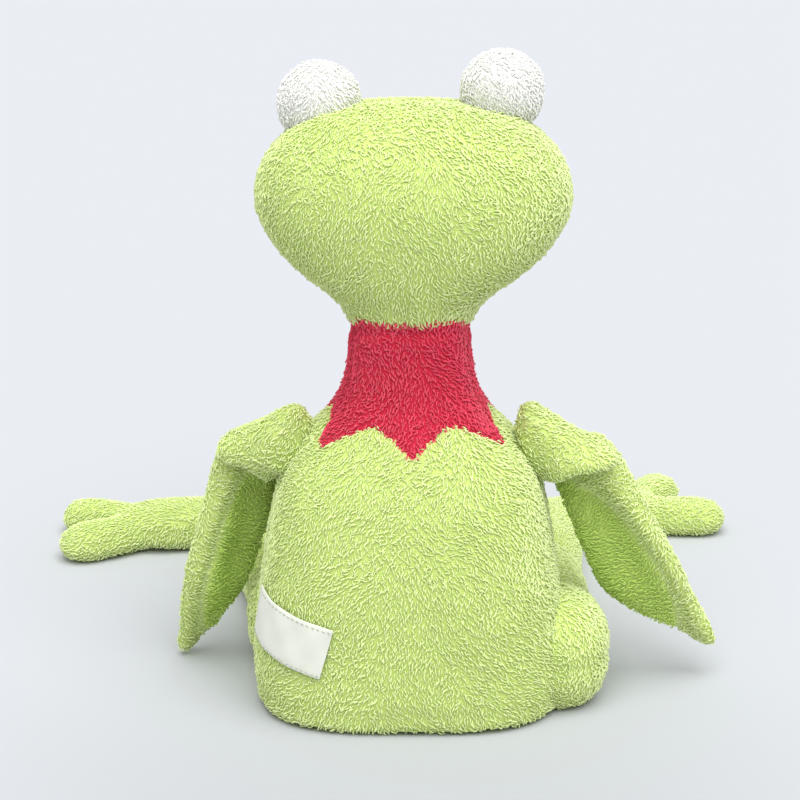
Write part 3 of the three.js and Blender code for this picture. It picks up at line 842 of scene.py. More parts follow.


def head_rows(inset):
    size = sizes()
    ring = size.ring_height / MM
    neck = size.neck_radius / MM
    rows = []
    for height, wide, deep, shift in HEAD_SHARES:
        across = max(between(neck, size.head_width / MM / 2, wide) - inset, HEAD_LEAST)
        through = max(between(neck, size.head_depth / MM / 2, deep) - inset, HEAD_LEAST)
        centre_x = between(TORSO_SWAY, -HEAD_SWAY, shift)
        top = (size.head_height / MM - inset) * height
        rows.append([centre_x, -NECK_FORWARD - HEAD_FORWARD * shift, ring + top,
                     across, 0, 0, 0, through, 0])
    return rows


class FROG_OT_head(bpy.types.Operator):
    """Makes the wide head"""
    bl_idname = "frog.head"
    bl_label = "Head"

    def execute(self, context):
        inset = pile().pile_height / MM
        ring = sizes().ring_height / MM
        seam_y = -NECK_FORWARD - HEAD_FORWARD
        seams = [Seam(BACK * seam_y, BACK, depth=0.8, bare=0.5)]
        form = loft(head_rows(inset + BODY_SWELL), count=60)
        head = stuffed_cloth("head_cloth", [form], seams, cap=1.5, rests=False)
        mouth = node_box("head_chin_panel")[1][2]
        mesh = head.data
        points = mesh_points(mesh)
        height = points[:, 2]
        jaw = groove(height - mouth, *JAW_GROOVE) * (points[:, 1] < seam_y)
        nape = groove(points[:, 0], *NAPE_GROOVE) * np.clip((ring + NAPE_TOP - height) / NAPE_FADE, 0, 1)
        nape = nape * (points[:, 1] > -NECK_FORWARD)
        sunk = jaw + groove(height - ring, *NECK_GROOVE) + nape
        move_points(mesh, lean_neck(points - mesh_normals(mesh) * sunk[:, None]))
        groom_cloth(head, seams, spreading_flow(reach=40, aside=0.5, back=0.3), rests=False)
        middle = np.array([0, -NECK_FORWARD, 0])
        start, end = (middle + UP * (ring + over) for over in HEAD_BEND)
        add_cloth(head, Bend("neck", "head", start, end), "green",
                  stuffed_nodes("head", "back_panel", "face_panel", "chin_panel"),
                  parts=4, covered_by=("eye_left_cloth", "eye_right_cloth", "neck_collar_cloth"))
        return {"FINISHED"}


# Eyes
EYE_INSET = 0.9  # the cloth lies this far inside the eye's size
EYE_PILE_SCALE = 0.92
PUPIL_MARGIN = 0.4  # the pile stays this far away from a pupil


def eye_centre(side):
    """Middle of an eye ball, from the box of its cover."""
    low, high = node_box(f"eye_{side}_cover")
    radius = sizes().eye_radius / MM
    return np.array([(low[0] + high[0]) / 2, (low[1] + high[1]) / 2, high[2] - radius])


def pupil_cover(centre):
    """A test for the points of an eye ball that its pupil lies on."""
    reach = sizes().pupil_radius / MM + PUPIL_MARGIN

    def covered(points):
        aside = np.linalg.norm((points - centre)[:, [0, 2]], axis=1)
        return ((aside < reach) & (points[:, 1] < centre[1])).astype(float)
    return covered


class FROG_OT_eyes(bpy.types.Operator):
    """Makes the two white terry eye balls"""
    bl_idname = "frog.eyes"
    bl_label = "Eyes"

    def execute(self, context):
        for side in SIDES:
            centre = eye_centre(side)
            radius = sizes().eye_radius / MM - EYE_INSET
            rows = ball_rows(centre, (radius, radius, radius), count=11)
            eye = stuffed_cloth(f"eye_{side}_cloth", [loft(rows, count=28, power=2.0)], cap=0.4,
                                voxel=FINE_VOXEL, rests=False)
            groom_cloth(eye, [], steady_flow(0, 0, -1), rests=False, bare=pupil_cover(centre))
            add_cloth(eye, Ride("head"), "white", stuffed_nodes(f"eye_{side}", "cover"),
                      covered_by=("head_cloth",), scale=EYE_PILE_SCALE)
        return {"FINISHED"}


# Arms
FOREARM_DIRECTION_SHARES = {"left": (0.275, -0.22, -0.935), "right": (0.5, -0.194, -0.84)}
FOREARM_CURL = {"left": 4.5, "right": 8.5}  # how far the tip turns outwards
CURL_START = 0.68
FOREARM_BROAD_SHARES = {"left": (0.72, 0.69, 0.0), "right": (0.74, 0.58, 0.35)}
FOREARM_SHIFT = {"left": (-4.0, 0.0, 0.0), "right": (1.8, 0.0, 0.0)}
FOREARM_REACH = {"left": 0.975, "right": 0.97}
FOREARM_BREADTH = {"left": 1.0, "right": 1.02}
FOREARM_POWER = 3.0
ARM_SEAM = {
    "left": {"top": (44.5, 3, 130.5), "low": (53, 2, 92)},
    "right": {"top": (-49, 3, 131), "low": (-61, 3, 92)},
}
FOREARM_PROFILE = [
    (0.0, 0.45, 0.4), (0.02, 0.76, 0.72), (0.06, 0.92, 0.92), (0.12, 0.98, 1.0), (0.25, 1.0, 1.02),
    (0.42, 1.02, 1.0), (0.6, 1.02, 0.95), (0.7, 0.94, 0.86), (0.8, 0.76, 0.74), (0.88, 0.58, 0.63),
    (0.95, 0.45, 0.5), (0.99, 0.32, 0.34), (1.0, 0.08, 0.08),
]
UPPER_ARM_PROFILE = [
    (-0.5, 0.6, 0.5), (-0.3, 0.84, 0.8), (0.0, 0.99, 1.0), (0.35, 1.0, 1.14), (0.7, 0.98, 1.2),
    (0.9, 0.94, 1.14), (1.02, 0.89, 0.98), (1.1, 0.78, 0.7), (1.15, 0.56, 0.3),
]
UPPER_ARM_LIE = (0.9, 0.1, -0.6)  # which way the pile lies: outwards, back and up
FOREARM_LIE = (-0.8, 0.0, -0.45)
ROOT_IN = 15.0  # the upper arm's hidden root runs this far into the torso, and down
ROOT_DOWN = 9.0
FOLD_OVER = 15.0  # how far the upper arm rounds over past the fold
FOLD_BACK = 3.0
FOLD_LIFT = {"left": 0.6, "right": 1.8}
SHOULDER_BEND = (7.0, 10.0)  # how far before and after a joint a bend span reaches
ELBOW_BEND = (6.0, 9.0)
ARM_SEAM_BACK = 4.0
HAND_SEAM_BACK = {"left": 4.9, "right": 7.3}
HAND_SEAM_OUT = 14.0
HAND_SEAM_SLOPE = 0.35
PAINTED_SHADE_SHARE = 0.9  # how much painted shade the flat inside a hand's seam gets
PAINTED_SHADE_EDGE = 2.5
PAINTED_SHADE_AT_SEAM = 0.3
FOREARM_BELLY = {"left": 0.0, "right": 0.16}  # how much fuller the inner edge is past its middle
BELLY_AT = 0.6
BELLY_REACH = 0.2
FOREARM_LEAD = 11.0  # the forearm starts this far over the elbow
OVERHANG = 9.5
OVERHANG_UP_TO = 0.5  # the share along the forearm where it has come back to its line
CURL_POWER = 1.4
FOLD_REACH = {"left": -0.5, "right": 2.2}
FOLD_ARCH = 6.5  # how far the middle of the fold is drawn up
ARCH_WIDTH = 13.0
ARCH_HEIGHT = 16.0
ARCH_MOST = 1.4
HOLLOW_DEPTH = 6.0  # how far the fold presses the forearm's flat in
HOLLOW_WIDTH = 11.0
HOLLOW_SIDE = 6.0  # what lies this far off the forearm's middle plane sinks in fully
HOLLOW_START = 12.0  # the hollow is at its full depth this far under the elbow
HOLLOW_END_SHARE = 0.95
HOLLOW_FADE_SHARE = 0.5


def arm_faces(side):
    """Elbow, outward fold line, forearm direction and the way the back of the forearm looks."""
    elbow = JOINT_AT[f"elbow_{side}"]
    axis = JOINT_AXIS[f"elbow_{side}"]
    fold = unit(axis * np.sign(axis[2]))
    out, back, height = FOREARM_DIRECTION_SHARES[side]
    down = unit([SIDES[side] * out, back, height])
    back_face = np.cross(down, fold)
    back_face = unit(back_face * np.sign(back_face[1]))
    return elbow, fold, down, back_face


def forearm_faces(side):
    """Across the flat of a forearm, and the way the flat that shows from behind looks."""
    out, back, height = FOREARM_BROAD_SHARES[side]
    broad = unit([SIDES[side] * out, back, height])
    flat = unit(np.cross(arm_faces(side)[2], broad))
    return broad, flat * np.sign(flat[1])


def upper_arm_rows(side, inset):
    """From the torso's seam to the fold: the seam's line turns into the fold's line."""
    elbow, fold, _, _ = arm_faces(side)
    top = np.array(ARM_SEAM[side]["top"], dtype=float)
    low = np.array(ARM_SEAM[side]["low"], dtype=float)
    seam_middle = (top + low) / 2
    seam_half = (top - low) / 2
    fold_half = fold * sizes().arm_width / MM / 2
    thick = sizes().arm_thickness / MM / 2
    inward = unit([-SIDES[side], 0, 0])
    along = unit(elbow - seam_middle)
    end = elbow + np.array([0, FOLD_BACK, FOLD_LIFT[side]]) + along * FOLD_REACH[side]
    rows = []
    for share, wide, deep in UPPER_ARM_PROFILE:
        if share < 0:
            centre = seam_middle + (inward * ROOT_IN - UP * ROOT_DOWN) * -share
            half = seam_half
        else:
            reach = min(share, 1.0)
            centre = between(seam_middle, end, reach) + along * FOLD_OVER * max(share - 1.0, 0)
            half = between(seam_half, fold_half, reach)
        half = half * (1 - inset / np.linalg.norm(half)) * wide
        normal = unit(np.cross(along, half))
        normal = normal * np.sign(normal[1])
        rows.append([*centre, *half, *(normal * (thick - inset) * deep)])
    return rows


def forearm_rows(side, inset):
    elbow, _, down, back_face = arm_faces(side)
    broad, _ = forearm_faces(side)
    size = sizes()
    start = elbow + FOREARM_SHIFT[side] - down * FOREARM_LEAD - back_face * OVERHANG
    length = size.forearm_length / MM * FOREARM_REACH[side]
    width = size.arm_width / MM * FOREARM_BREADTH[side]
    rows = limb_rows(start, down, broad, length + FOREARM_LEAD, width,
                     size.arm_thickness / MM, FOREARM_PROFILE, inset)
    for row, (along, _, _) in zip(rows, FOREARM_PROFILE):
        settle = back_face * OVERHANG * np.clip(along / OVERHANG_UP_TO, 0, 1)
        curl = max(along - CURL_START, 0) / (1 - CURL_START)
        settle[0] += SIDES[side] * FOREARM_CURL[side] * curl ** CURL_POWER
        belly = FOREARM_BELLY[side] * math.exp(-((along - BELLY_AT) / BELLY_REACH) ** 2)
        settle = settle - broad * width / 2 * belly
        for axis in range(3):
            row[axis] += settle[axis]
            row[3 + axis] *= 1 + belly
    return rows


def arch_fold(mesh, side):
    """Draws the middle of the upper arm's folded end up, towards the shoulder."""
    elbow, fold, down, _ = arm_faces(side)
    points = mesh_points(mesh)
    local = points - elbow
    middle = groove(local @ fold, FOLD_ARCH, ARCH_WIDTH)
    low = np.clip((local @ down + ARCH_HEIGHT) / ARCH_HEIGHT, 0, ARCH_MOST)
    move_points(mesh, points - down * (middle * low)[:, None])


def hollow_forearm(mesh, side):
    """Sinks the middle of the flat that the fold presses in."""
    elbow, _, down, _ = arm_faces(side)
    broad, flat = forearm_faces(side)
    points = mesh_points(mesh)
    local = points - elbow - FOREARM_SHIFT[side]
    over = np.clip((local @ flat) / HOLLOW_SIDE, 0, 1)
    middle = groove(local @ broad, 1.0, HOLLOW_WIDTH)
    length = sizes().forearm_length / MM
    along = local @ down
    started = np.clip(along / HOLLOW_START, 0, 1)
    left_over = np.clip((length * HOLLOW_END_SHARE - along) / (length * HOLLOW_FADE_SHARE), 0, 1)
    move_points(mesh, points - flat * (HOLLOW_DEPTH * over * middle * (started * left_over))[:, None])


class FROG_OT_arms(bpy.types.Operator):
    """Makes upper arms and forearms, folded at the elbows"""
    bl_idname = "frog.arms"
    bl_label = "Arms"

    def execute(self, context):
        inset = pile().pile_height / MM
        for side, sign in SIDES.items():
            elbow, _, down, back_face = arm_faces(side)
            shoulder = JOINT_AT[f"shoulder_{side}"]
            along = unit(elbow - shoulder)
            upper_arm, forearm = f"upper_arm_{side}", f"forearm_{side}"

            arm_seam = Seam(shoulder + back_face * ARM_SEAM_BACK, back_face, depth=0.8, bare=0.5)
            form = loft(upper_arm_rows(side, inset + LIMB_SWELL))
            upper = stuffed_cloth(upper_arm + "_cloth", [form], [arm_seam], cap=1.2, voxel=FINE_VOXEL)
            arch_fold(upper.data, side)
            groom_cloth(upper, [arm_seam], steady_flow(*UPPER_ARM_LIE, sign))
            add_cloth(upper, bend_at("torso", upper_arm, shoulder, along, *SHOULDER_BEND), "green",
                      stuffed_nodes(upper_arm, "back_panel", "front_panel"),
                      covered_by=("torso_cloth", forearm + "_cloth"))

            broad, flat = forearm_faces(side)
            rim = elbow + FOREARM_SHIFT[side] + flat * HAND_SEAM_BACK[side] + broad * HAND_SEAM_OUT
            hand_seam = Seam(rim, flat - broad * HAND_SEAM_SLOPE, depth=2.6, bare=0.9)
            form = loft(forearm_rows(side, inset + LIMB_SWELL), power=FOREARM_POWER)
            lower = stuffed_cloth(forearm + "_cloth", [form], [hand_seam], cap=1.2, voxel=FINE_VOXEL)
            groom_cloth(lower, [hand_seam], steady_flow(*FOREARM_LIE, sign))
            # painted shade on the forearm's flat inside the hand seam, which lies in shade under the fold
            inside = (mesh_points(lower.data) - rim) @ unit(hand_seam.normal)
            store(lower.data, "nap", PAINTED_SHADE_SHARE * np.clip(inside / PAINTED_SHADE_EDGE + PAINTED_SHADE_AT_SEAM, 0, 1))
            hollow_forearm(lower.data, side)
            add_cloth(lower, bend_at(upper_arm, forearm, elbow, down, *ELBOW_BEND), "green",
                      stuffed_nodes(forearm, "back_panel", "front_panel"),
                      covered_by=(upper_arm + "_cloth",))
        return {"FINISHED"}


# Legs
HAUNCH_RADIUS = 27.5
HAUNCH_HALF_WIDTH = 24.5
HAUNCH_SAG = 5.0  # how far the haunch is pressed down on the floor
HAUNCH_POWER = 2.4
THIGH_PROFILE = [
    (-0.2, 0.4, 0.4), (0.0, 0.9, 0.9), (0.25, 1.0, 1.0), (0.55, 1.0, 1.0), (0.8, 0.98, 0.98),
    (0.95, 0.86, 0.86), (1.03, 0.6, 0.6), (1.06, 0.2, 0.2),
]
SHIN_PROFILE = [
    (-0.03, 0.3, 0.3), (0.0, 0.7, 0.72), (0.05, 0.9, 0.92), (0.13, 1.0, 1.0), (0.35, 1.0, 0.99),
    (0.65, 0.96, 0.92), (0.85, 0.93, 0.85), (0.98, 0.88, 0.76), (1.08, 0.6, 0.55),
]
FOOT_PROFILE = [
    (-0.12, 0.5, 0.6), (0.0, 0.9, 1.0), (0.3, 0.86, 0.98), (0.62, 0.94, 0.9), (0.85, 0.8, 0.72),
    (0.97, 0.42, 0.42),
]
TOE_PROFILE = [
    (-0.1, 0.4, 0.4), (0.0, 0.6, 0.6), (0.3, 0.88, 0.95), (0.7, 1.02, 1.0), (0.88, 0.9, 0.86),
    (0.96, 0.64, 0.6), (1.0, 0.2, 0.2),
]
THIGH_HEIGHT = 43.0
SHIN_WIDTH = 38.0
FOOT_WIDTH = 41.0
FOOT_POWER = 2.8
HEEL_RADIUS = 18.0
PAD_SHARE = 0.72
TOE_LENGTH = 54.0
TOE_WIDTH = 26.0
TOE_HEIGHT = 19.0
TOE_TURNS = {"left": (-25.0, 25.0), "right": (-24.0, 33.0)}  # degrees from the foot's direction
LEG_SAG = 2.5  # how far a leg is pressed down on the floor
FOOT_TURN = {"left": 94.0, "right": 58.0}  # degrees outwards from straight ahead
KNEE_OVERLAP = 12.0  # the thigh runs on this far past the knee
SHIN_LEAD = 13.0  # and the shin starts this far before it
ANKLE_HEIGHT_SHARE = 0.62
HEEL_RISE = 1.5
HEEL_UP = 1.0
TOE_ROOT_SHARE = 0.94
KNEE_BEND = (12.0, 12.0)
FOOT_VOXEL = 0.0028
THIGH_LIE = (0.7, 0.4, -0.7)
SHIN_LIE = (0.5, -0.8, -0.5)
FOOT_LIE_DOWN = -0.3


def level_turn(side, degrees):
    """A level direction, so many degrees outwards from straight ahead."""
    turn = math.radians(degrees)
    return np.array([SIDES[side] * math.sin(turn), -math.cos(turn), 0.0])


def level_across(direction):
    return unit(np.cross(direction, UP))


def thigh_lofts(side, inset):
    hip = JOINT_AT[f"hip_{side}"]
    knee = JOINT_AT[f"knee_{side}"]
    direction = np.cross(UP, JOINT_AXIS[f"hip_{side}"])
    radii = np.array([HAUNCH_HALF_WIDTH, HAUNCH_RADIUS, HAUNCH_RADIUS]) - inset
    seat = hip - UP * HAUNCH_SAG
    start = np.array([hip[0], hip[1], THIGH_HEIGHT / 2])
    length = np.linalg.norm((knee - hip)[:2]) + KNEE_OVERLAP
    tube = limb_rows(start, direction, level_across(direction), length, sizes().leg_width / MM,
                     THIGH_HEIGHT, THIGH_PROFILE, inset)
    return [loft(ball_rows(seat, radii, count=11, power=HAUNCH_POWER), power=2.2), loft(tube)]


def shin_lofts(side, inset):
    knee = JOINT_AT[f"knee_{side}"]
    ankle = JOINT_AT[f"ankle_{side}"]
    height = sizes().shin_height / MM
    flat = unit((ankle - knee) * [1, 1, 0])
    start = np.array([knee[0], knee[1], (height - LEG_SAG) / 2]) - flat * SHIN_LEAD
    end = np.array([ankle[0], ankle[1], (height * ANKLE_HEIGHT_SHARE - LEG_SAG) / 2])
    return [loft(limb_rows(start, end - start, level_across(flat), np.linalg.norm(end - start), SHIN_WIDTH,
                           height + LEG_SAG, SHIN_PROFILE, inset))]


def foot_lofts(side, inset):
    ankle = JOINT_AT[f"ankle_{side}"]
    size = sizes()
    height = size.foot_height / MM
    length = size.foot_length / MM
    direction = level_turn(side, FOOT_TURN[side])
    centre = np.array([ankle[0], ankle[1], (height - LEG_SAG) / 2])
    forms = [loft(limb_rows(centre, direction, level_across(direction), length * PAD_SHARE, FOOT_WIDTH,
                            height + LEG_SAG, FOOT_PROFILE, inset), power=FOOT_POWER)]
    heel = np.array([HEEL_RADIUS, HEEL_RADIUS, height / 2 + HEEL_RISE]) - inset
    forms.append(loft(ball_rows(centre + UP * HEEL_UP, heel), power=2.0))
    for turn in TOE_TURNS[side]:
        toe = level_turn(side, FOOT_TURN[side] + turn)
        root = centre + direction * (length - TOE_LENGTH * TOE_ROOT_SHARE)
        root[2] = (TOE_HEIGHT - LEG_SAG) / 2
        forms.append(loft(limb_rows(root, toe, level_across(toe), TOE_LENGTH, TOE_WIDTH,
                                    TOE_HEIGHT + LEG_SAG, TOE_PROFILE, inset)))
    return forms


class FROG_OT_legs(bpy.types.Operator):
    """Makes thighs, shins and the two-toed feet"""
    bl_idname = "frog.legs"
    bl_label = "Legs"

    def execute(self, context):
        inset = pile().pile_height / MM
        for side, sign in SIDES.items():
            knee = JOINT_AT[f"knee_{side}"]
            shin_way = unit((JOINT_AT[f"ankle_{side}"] - knee) * [1, 1, 0])
            foot_way = level_turn(side, FOOT_TURN[side])
            thigh, shin, foot = (f"{part}_{side}" for part in ("thigh", "shin", "foot"))

            seam = Seam(UP * THIGH_HEIGHT / 2, UP, depth=0.6, bare=0.15)
            cloth = stuffed_cloth(thigh + "_cloth", thigh_lofts(side, inset + LIMB_SWELL), [seam], cap=1.4)
            groom_cloth(cloth, [seam], steady_flow(*THIGH_LIE, sign))
            add_cloth(cloth, Ride(thigh), "green", stuffed_nodes(thigh, "top_panel", "under_panel"),
                      covered_by=("torso_cloth", shin + "_cloth"))

            seam = Seam(UP * sizes().foot_height / MM / 2, UP, depth=0.7, bare=0.2)
            cloth = stuffed_cloth(shin + "_cloth", shin_lofts(side, inset + LIMB_SWELL), [seam], cap=1.4)
            groom_cloth(cloth, [seam], steady_flow(*SHIN_LIE, sign))
            add_cloth(cloth, bend_at(thigh, shin, knee, shin_way, *KNEE_BEND), "green",
                      stuffed_nodes(shin, "top_panel", "under_panel"),
                      covered_by=(thigh + "_cloth", foot + "_cloth"))

            cloth = stuffed_cloth(foot + "_cloth", foot_lofts(side, inset + FOOT_SWELL), [seam], cap=0.9,
                                  voxel=FOOT_VOXEL)
            groom_cloth(cloth, [seam], steady_flow(foot_way[0], foot_way[1], FOOT_LIE_DOWN))
            add_cloth(cloth, Ride(foot), "green", stuffed_nodes(foot, "top_panel", "sole_panel"),
                      covered_by=(shin + "_cloth",))
        return {"FINISHED"}


# Label
LABEL_TILT = math.radians(-12.5)
LABEL_TURN = math.radians(-38)
LABEL_CENTRE = np.array([50.4, 39.6, 40.0])
LABEL_REACH = 20.0  # the cloth under the label lies no further in than this
LABEL_OVER_CLOTH = 2.1
LABEL_THICKNESS = 0.45
LABEL_PILE_EDGE = 0.6  # pile reaches this far under the label's edge
LABEL_RIPPLE = 0.25
LABEL_WAVE_ALONG = 0.42
LABEL_WAVE_UP = 0.3
LABEL_EDGE_SINK = 0.45
LABEL_GRID = (44, 27)
LABEL_EDGE_ROUNDING = 0.00015
LABEL_SEAM_MARGIN = 1.3
LABEL_SEAM_OVER = 0.12
LABEL_SEAM_POINTS = 60
# A stitch is a pitch, a length and a thickness of thread
LABEL_STITCH = (2.3, 1.7, 0.42)


def label_directions():
    """Along the label, up its short side, and out of the torso."""
    turn = np.array([[math.cos(LABEL_TURN), -math.sin(LABEL_TURN), 0],
                     [math.sin(LABEL_TURN), math.cos(LABEL_TURN), 0], [0, 0, 1]])
    along = turn @ np.array([math.cos(LABEL_TILT), 0, -math.sin(LABEL_TILT)])
    rise = turn @ np.array([math.sin(LABEL_TILT), 0, math.cos(LABEL_TILT)])
    return along, rise, turn @ np.array([0, 1, 0])


def label_halves():
    """Half of the label's long side and half of its short side."""
    size = sizes()
    return size.label_length / MM / 2, size.label_height / MM / 2


def label_cover():
    """A test for the points of the torso that the label lies on."""
    along, rise, out = label_directions()
    half_length, half_height = label_halves()

    def covered(points):
        local = points - LABEL_CENTRE
        inside = np.abs(local @ along) < half_length - LABEL_PILE_EDGE
        inside = inside & (np.abs(local @ rise) < half_height - LABEL_PILE_EDGE)
        return (inside & (local @ out > -LABEL_REACH)).astype(float)
    return covered


class FROG_OT_label(bpy.types.Operator):
    """Makes the bare woven label and the stitches that hold it"""
    bl_idname = "frog.label"
    bl_label = "Label"

    def execute(self, context):
        along, rise, out = label_directions()
        size = sizes()
        half_length, half_height = label_halves()
        torso = bpy.data.objects["torso_cloth"]
        tree = BVHTree.FromObject(torso, context.evaluated_depsgraph_get())
        cast_from = size.torso_width / MM

        def place(s, t, over):
            aim = LABEL_CENTRE + along * s + rise * t
            hit, normal, _, _ = tree.ray_cast(Vector((aim + out * cast_from) * MM), Vector(-out))
            if hit is None:
                raise RuntimeError("the label misses the torso")
            edge = max(abs(s) / half_length, abs(t) / half_height)
            ripple = LABEL_RIPPLE * math.sin(s * LABEL_WAVE_ALONG + 1.0) * math.sin(t * LABEL_WAVE_UP + 0.6)
            return np.array(hit) / MM + np.array(normal) * (over + ripple - LABEL_EDGE_SINK * edge ** 6)

        columns, rows_up = LABEL_GRID
        points = [place(between(-half_length, half_length, i / (columns - 1)),
                        between(-half_height, half_height, j / (rows_up - 1)), LABEL_OVER_CLOTH)
                  for j in range(rows_up) for i in range(columns)]
        corners = [j * columns + i for j in range(rows_up - 1) for i in range(columns - 1)]
        faces = [(first, first + 1, first + columns + 1, first + columns) for first in corners]
        label = mesh_object("back_label_cloth", points, faces)
        shape = bmesh.new()
        shape.from_mesh(label.data)
        if sum(face.normal.dot(Vector(out)) for face in shape.faces) < 0:
            bmesh.ops.reverse_faces(shape, faces=shape.faces)
        shape.to_mesh(label.data)
        shape.free()
        uv = label.data.uv_layers.new(name="label")
        for loop in label.data.loops:
            i, j = loop.vertex_index % columns, loop.vertex_index // columns
            uv.data[loop.index].uv = (i / (columns - 1), j / (rows_up - 1))
        wall = label.modifiers.new("wall", "SOLIDIFY")
        wall.thickness = LABEL_THICKNESS * MM
        wall.offset = 1
        soft = label.modifiers.new("soft_edge", "BEVEL")
        soft.width = LABEL_EDGE_ROUNDING
        soft.segments = 2
        finish_modifiers(label).shade_smooth()
        label.data.materials.append(bpy.data.materials["label_weave"])
        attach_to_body(label, "torso")
        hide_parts("back_label")

        end = half_length - LABEL_SEAM_MARGIN
        over = LABEL_OVER_CLOTH + LABEL_THICKNESS + LABEL_SEAM_OVER
        paths = [[place(s, t, over) for s in np.linspace(-end, end, LABEL_SEAM_POINTS)]
                 for t in (-half_height + LABEL_SEAM_MARGIN, half_height - LABEL_SEAM_MARGIN)]
        stitches = sewn_line("label_stitches", paths, out, *LABEL_STITCH, "label_thread")
        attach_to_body(stitches, "torso")
        return {"FINISHED"}


# Stitches along a line
STITCH_ARCH = 1.3  # how high a stitch stands, in radii of its thread
STITCH_END_SHARE = 0.45
STITCH_SWELL = 4.4
STITCH_SHAKE = 0.08
STITCH_SEED = 3


def stitch_tree():
    """Geometry Nodes: stitches of thread along the edges of a mesh, one after another."""
    tree = bpy.data.node_groups.new("stitches", "GeometryNodeTree")
    ports = tree.interface
    ports.new_socket("Path", in_out="INPUT", socket_type="NodeSocketGeometry")
    for name in ("Pitch", "Stitch Length", "Thread Radius"):
        ports.new_socket(name, in_out="INPUT", socket_type="NodeSocketFloat")
    ports.new_socket("Seed", in_out="INPUT", socket_type="NodeSocketInt")
    ports.new_socket("Material", in_out="INPUT", socket_type="NodeSocketMaterial")
    ports.new_socket("Stitches", in_out="OUTPUT", socket_type="NodeSocketGeometry")
    graph = Graph(tree)
    inputs = graph.add("NodeGroupInput")
    pitch, length = graph.also(inputs, "Pitch"), graph.also(inputs, "Stitch Length")
    radius = graph.also(inputs, "Thread Radius")
    half = length * 0.5
    start = graph.add("ShaderNodeCombineXYZ", None, {0: half * -1.0})
    rise = graph.add("ShaderNodeCombineXYZ", None, {2: radius * STITCH_ARCH})
    end = graph.add("ShaderNodeCombineXYZ", None, {0: half})
    thread = graph.add("GeometryNodeCurveQuadraticBezier", None, {
        "Resolution": 6, "Start": start, "Middle": rise, "End": end})
    along = graph.add("GeometryNodeSplineParameter")
    taper = STITCH_END_SHARE + STITCH_SWELL * along * (1.0 - along) * 0.5
    profile = graph.add("GeometryNodeCurvePrimitiveCircle", None, {"Resolution": 6, "Radius": radius})
    stitch = graph.add("GeometryNodeCurveToMesh", None, {
        "Curve": thread, "Profile Curve": profile, "Scale": taper, "Fill Caps": True})
    curve = graph.add("GeometryNodeMeshToCurve", None, {0: graph.also(inputs, "Path")})
    steps = graph.add("GeometryNodeResampleCurve", {"mode": "LENGTH"}, {"Curve": curve, "Length": pitch})
    tangent = graph.add("GeometryNodeInputTangent")
    out = graph.add("GeometryNodeInputNamedAttribute", {"data_type": "FLOAT_VECTOR"}, {"Name": "out"})
    shake = graph.add("FunctionNodeRandomValue", {"data_type": "FLOAT_VECTOR"}, {
        0: (-STITCH_SHAKE,) * 3, 1: (STITCH_SHAKE,) * 3, "Seed": graph.also(inputs, "Seed")})
    turn = graph.add("FunctionNodeAxesToRotation", {"primary_axis": "Z", "secondary_axis": "X"}, {
        "Primary Axis": out, "Secondary Axis": graph.vector("ADD", tangent, shake)})
    placed = graph.add("GeometryNodeInstanceOnPoints", None, {
        "Points": steps, "Instance": stitch, "Rotation": turn})
    real = graph.add("GeometryNodeRealizeInstances", None, {"Geometry": placed})
    smooth = graph.add("GeometryNodeSetShadeSmooth", None, {0: real})
    dressed = graph.add("GeometryNodeSetMaterial", None, {
        "Geometry": smooth, "Material": graph.also(inputs, "Material")})
    graph.add_output(dressed)
    return tree


def run_tree(obj, tree, values):
    """What a geometry tree makes of an object, as a plain mesh; the modifier is removed."""
    modifier = obj.modifiers.new("made", "NODES")
    modifier.node_group = tree
    for item in tree.interface.items_tree:
        if item.in_out == "INPUT" and item.name in values:
            modifier[item.identifier] = values[item.name]
    depsgraph = bpy.context.evaluated_depsgraph_get()
    mesh = bpy.data.meshes.new_from_object(obj.evaluated_get(depsgraph))
    obj.modifiers.clear()
    return mesh


def sewn_line(name, paths, out, pitch, stitch_length, thickness, material):
    """Stitches along paths that are given in millimetres; out is one direction or one a point."""
    points = np.vstack(paths)
    edges = []
    base = 0
    for path in paths:
        edges += [(base + i, base + i + 1) for i in range(len(path) - 1)]
        base += len(path)
    mesh = bpy.data.meshes.new(name)
    mesh.from_pydata((points * MM).tolist(), edges, [])
    store(mesh, "out", np.broadcast_to(out, points.shape), "FLOAT_VECTOR")
    line = bpy.data.objects.new(name + "_line", mesh)
    bpy.context.scene.collection.objects.link(line)
    made = run_tree(line, bpy.data.node_groups["stitches"], {
        "Pitch": pitch * MM, "Stitch Length": stitch_length * MM, "Thread Radius": thickness * MM / 2,
        "Seed": STITCH_SEED, "Material": bpy.data.materials[material]})
    bpy.data.objects.remove(line)
    piece = bpy.data.objects.new(name, made)
    bpy.context.scene.collection.objects.link(piece)
    return piece


# Face
FELT_THICKNESS = 0.0013
FELT_ROUNDING = 0.0003
FELT_OVER_BALL = 0.2
FELT_SWELL = 0.35
FELT_RINGS = 7
FELT_CORNERS = 36
THREAD_OVER_HEAD = 1.2
CAST_FROM = 30.0  # rays onto the head start this far before its face
NOSTRIL_BARS = 5
NOSTRIL_BAR_PITCH = 0.85
NOSTRIL_HALF_HEIGHT = 2.3
NOSTRIL_HALF_WIDTH = 2.8  # in pitches
NOSTRIL_THREAD = 0.95
MOUTH_POINTS = 90
MOUTH_MARGIN = 1.2  # the line stays this far inside its node's box
MOUTH_STITCH = (3.1, 3.6, 1.7)


def on_head(points, over):
    """Points moved along Y onto the front of the head, and the directions out of it."""
    head = bpy.data.objects["head_cloth"]
    tree = BVHTree.FromObject(head, bpy.context.evaluated_depsgraph_get())
    start = node_box("head_face_panel")[0][1] - CAST_FROM
    found, outs = [], []
    for x, z in points:
        hit, normal, _, _ = tree.ray_cast(Vector((x * MM, start * MM, z * MM)), Vector((0, 1, 0)))
        if hit is None:
            raise RuntimeError("a stitch of the face misses the head")
        found.append(np.array(hit) / MM + np.array(normal) * over)
        outs.append(np.array(normal))
    return found, outs


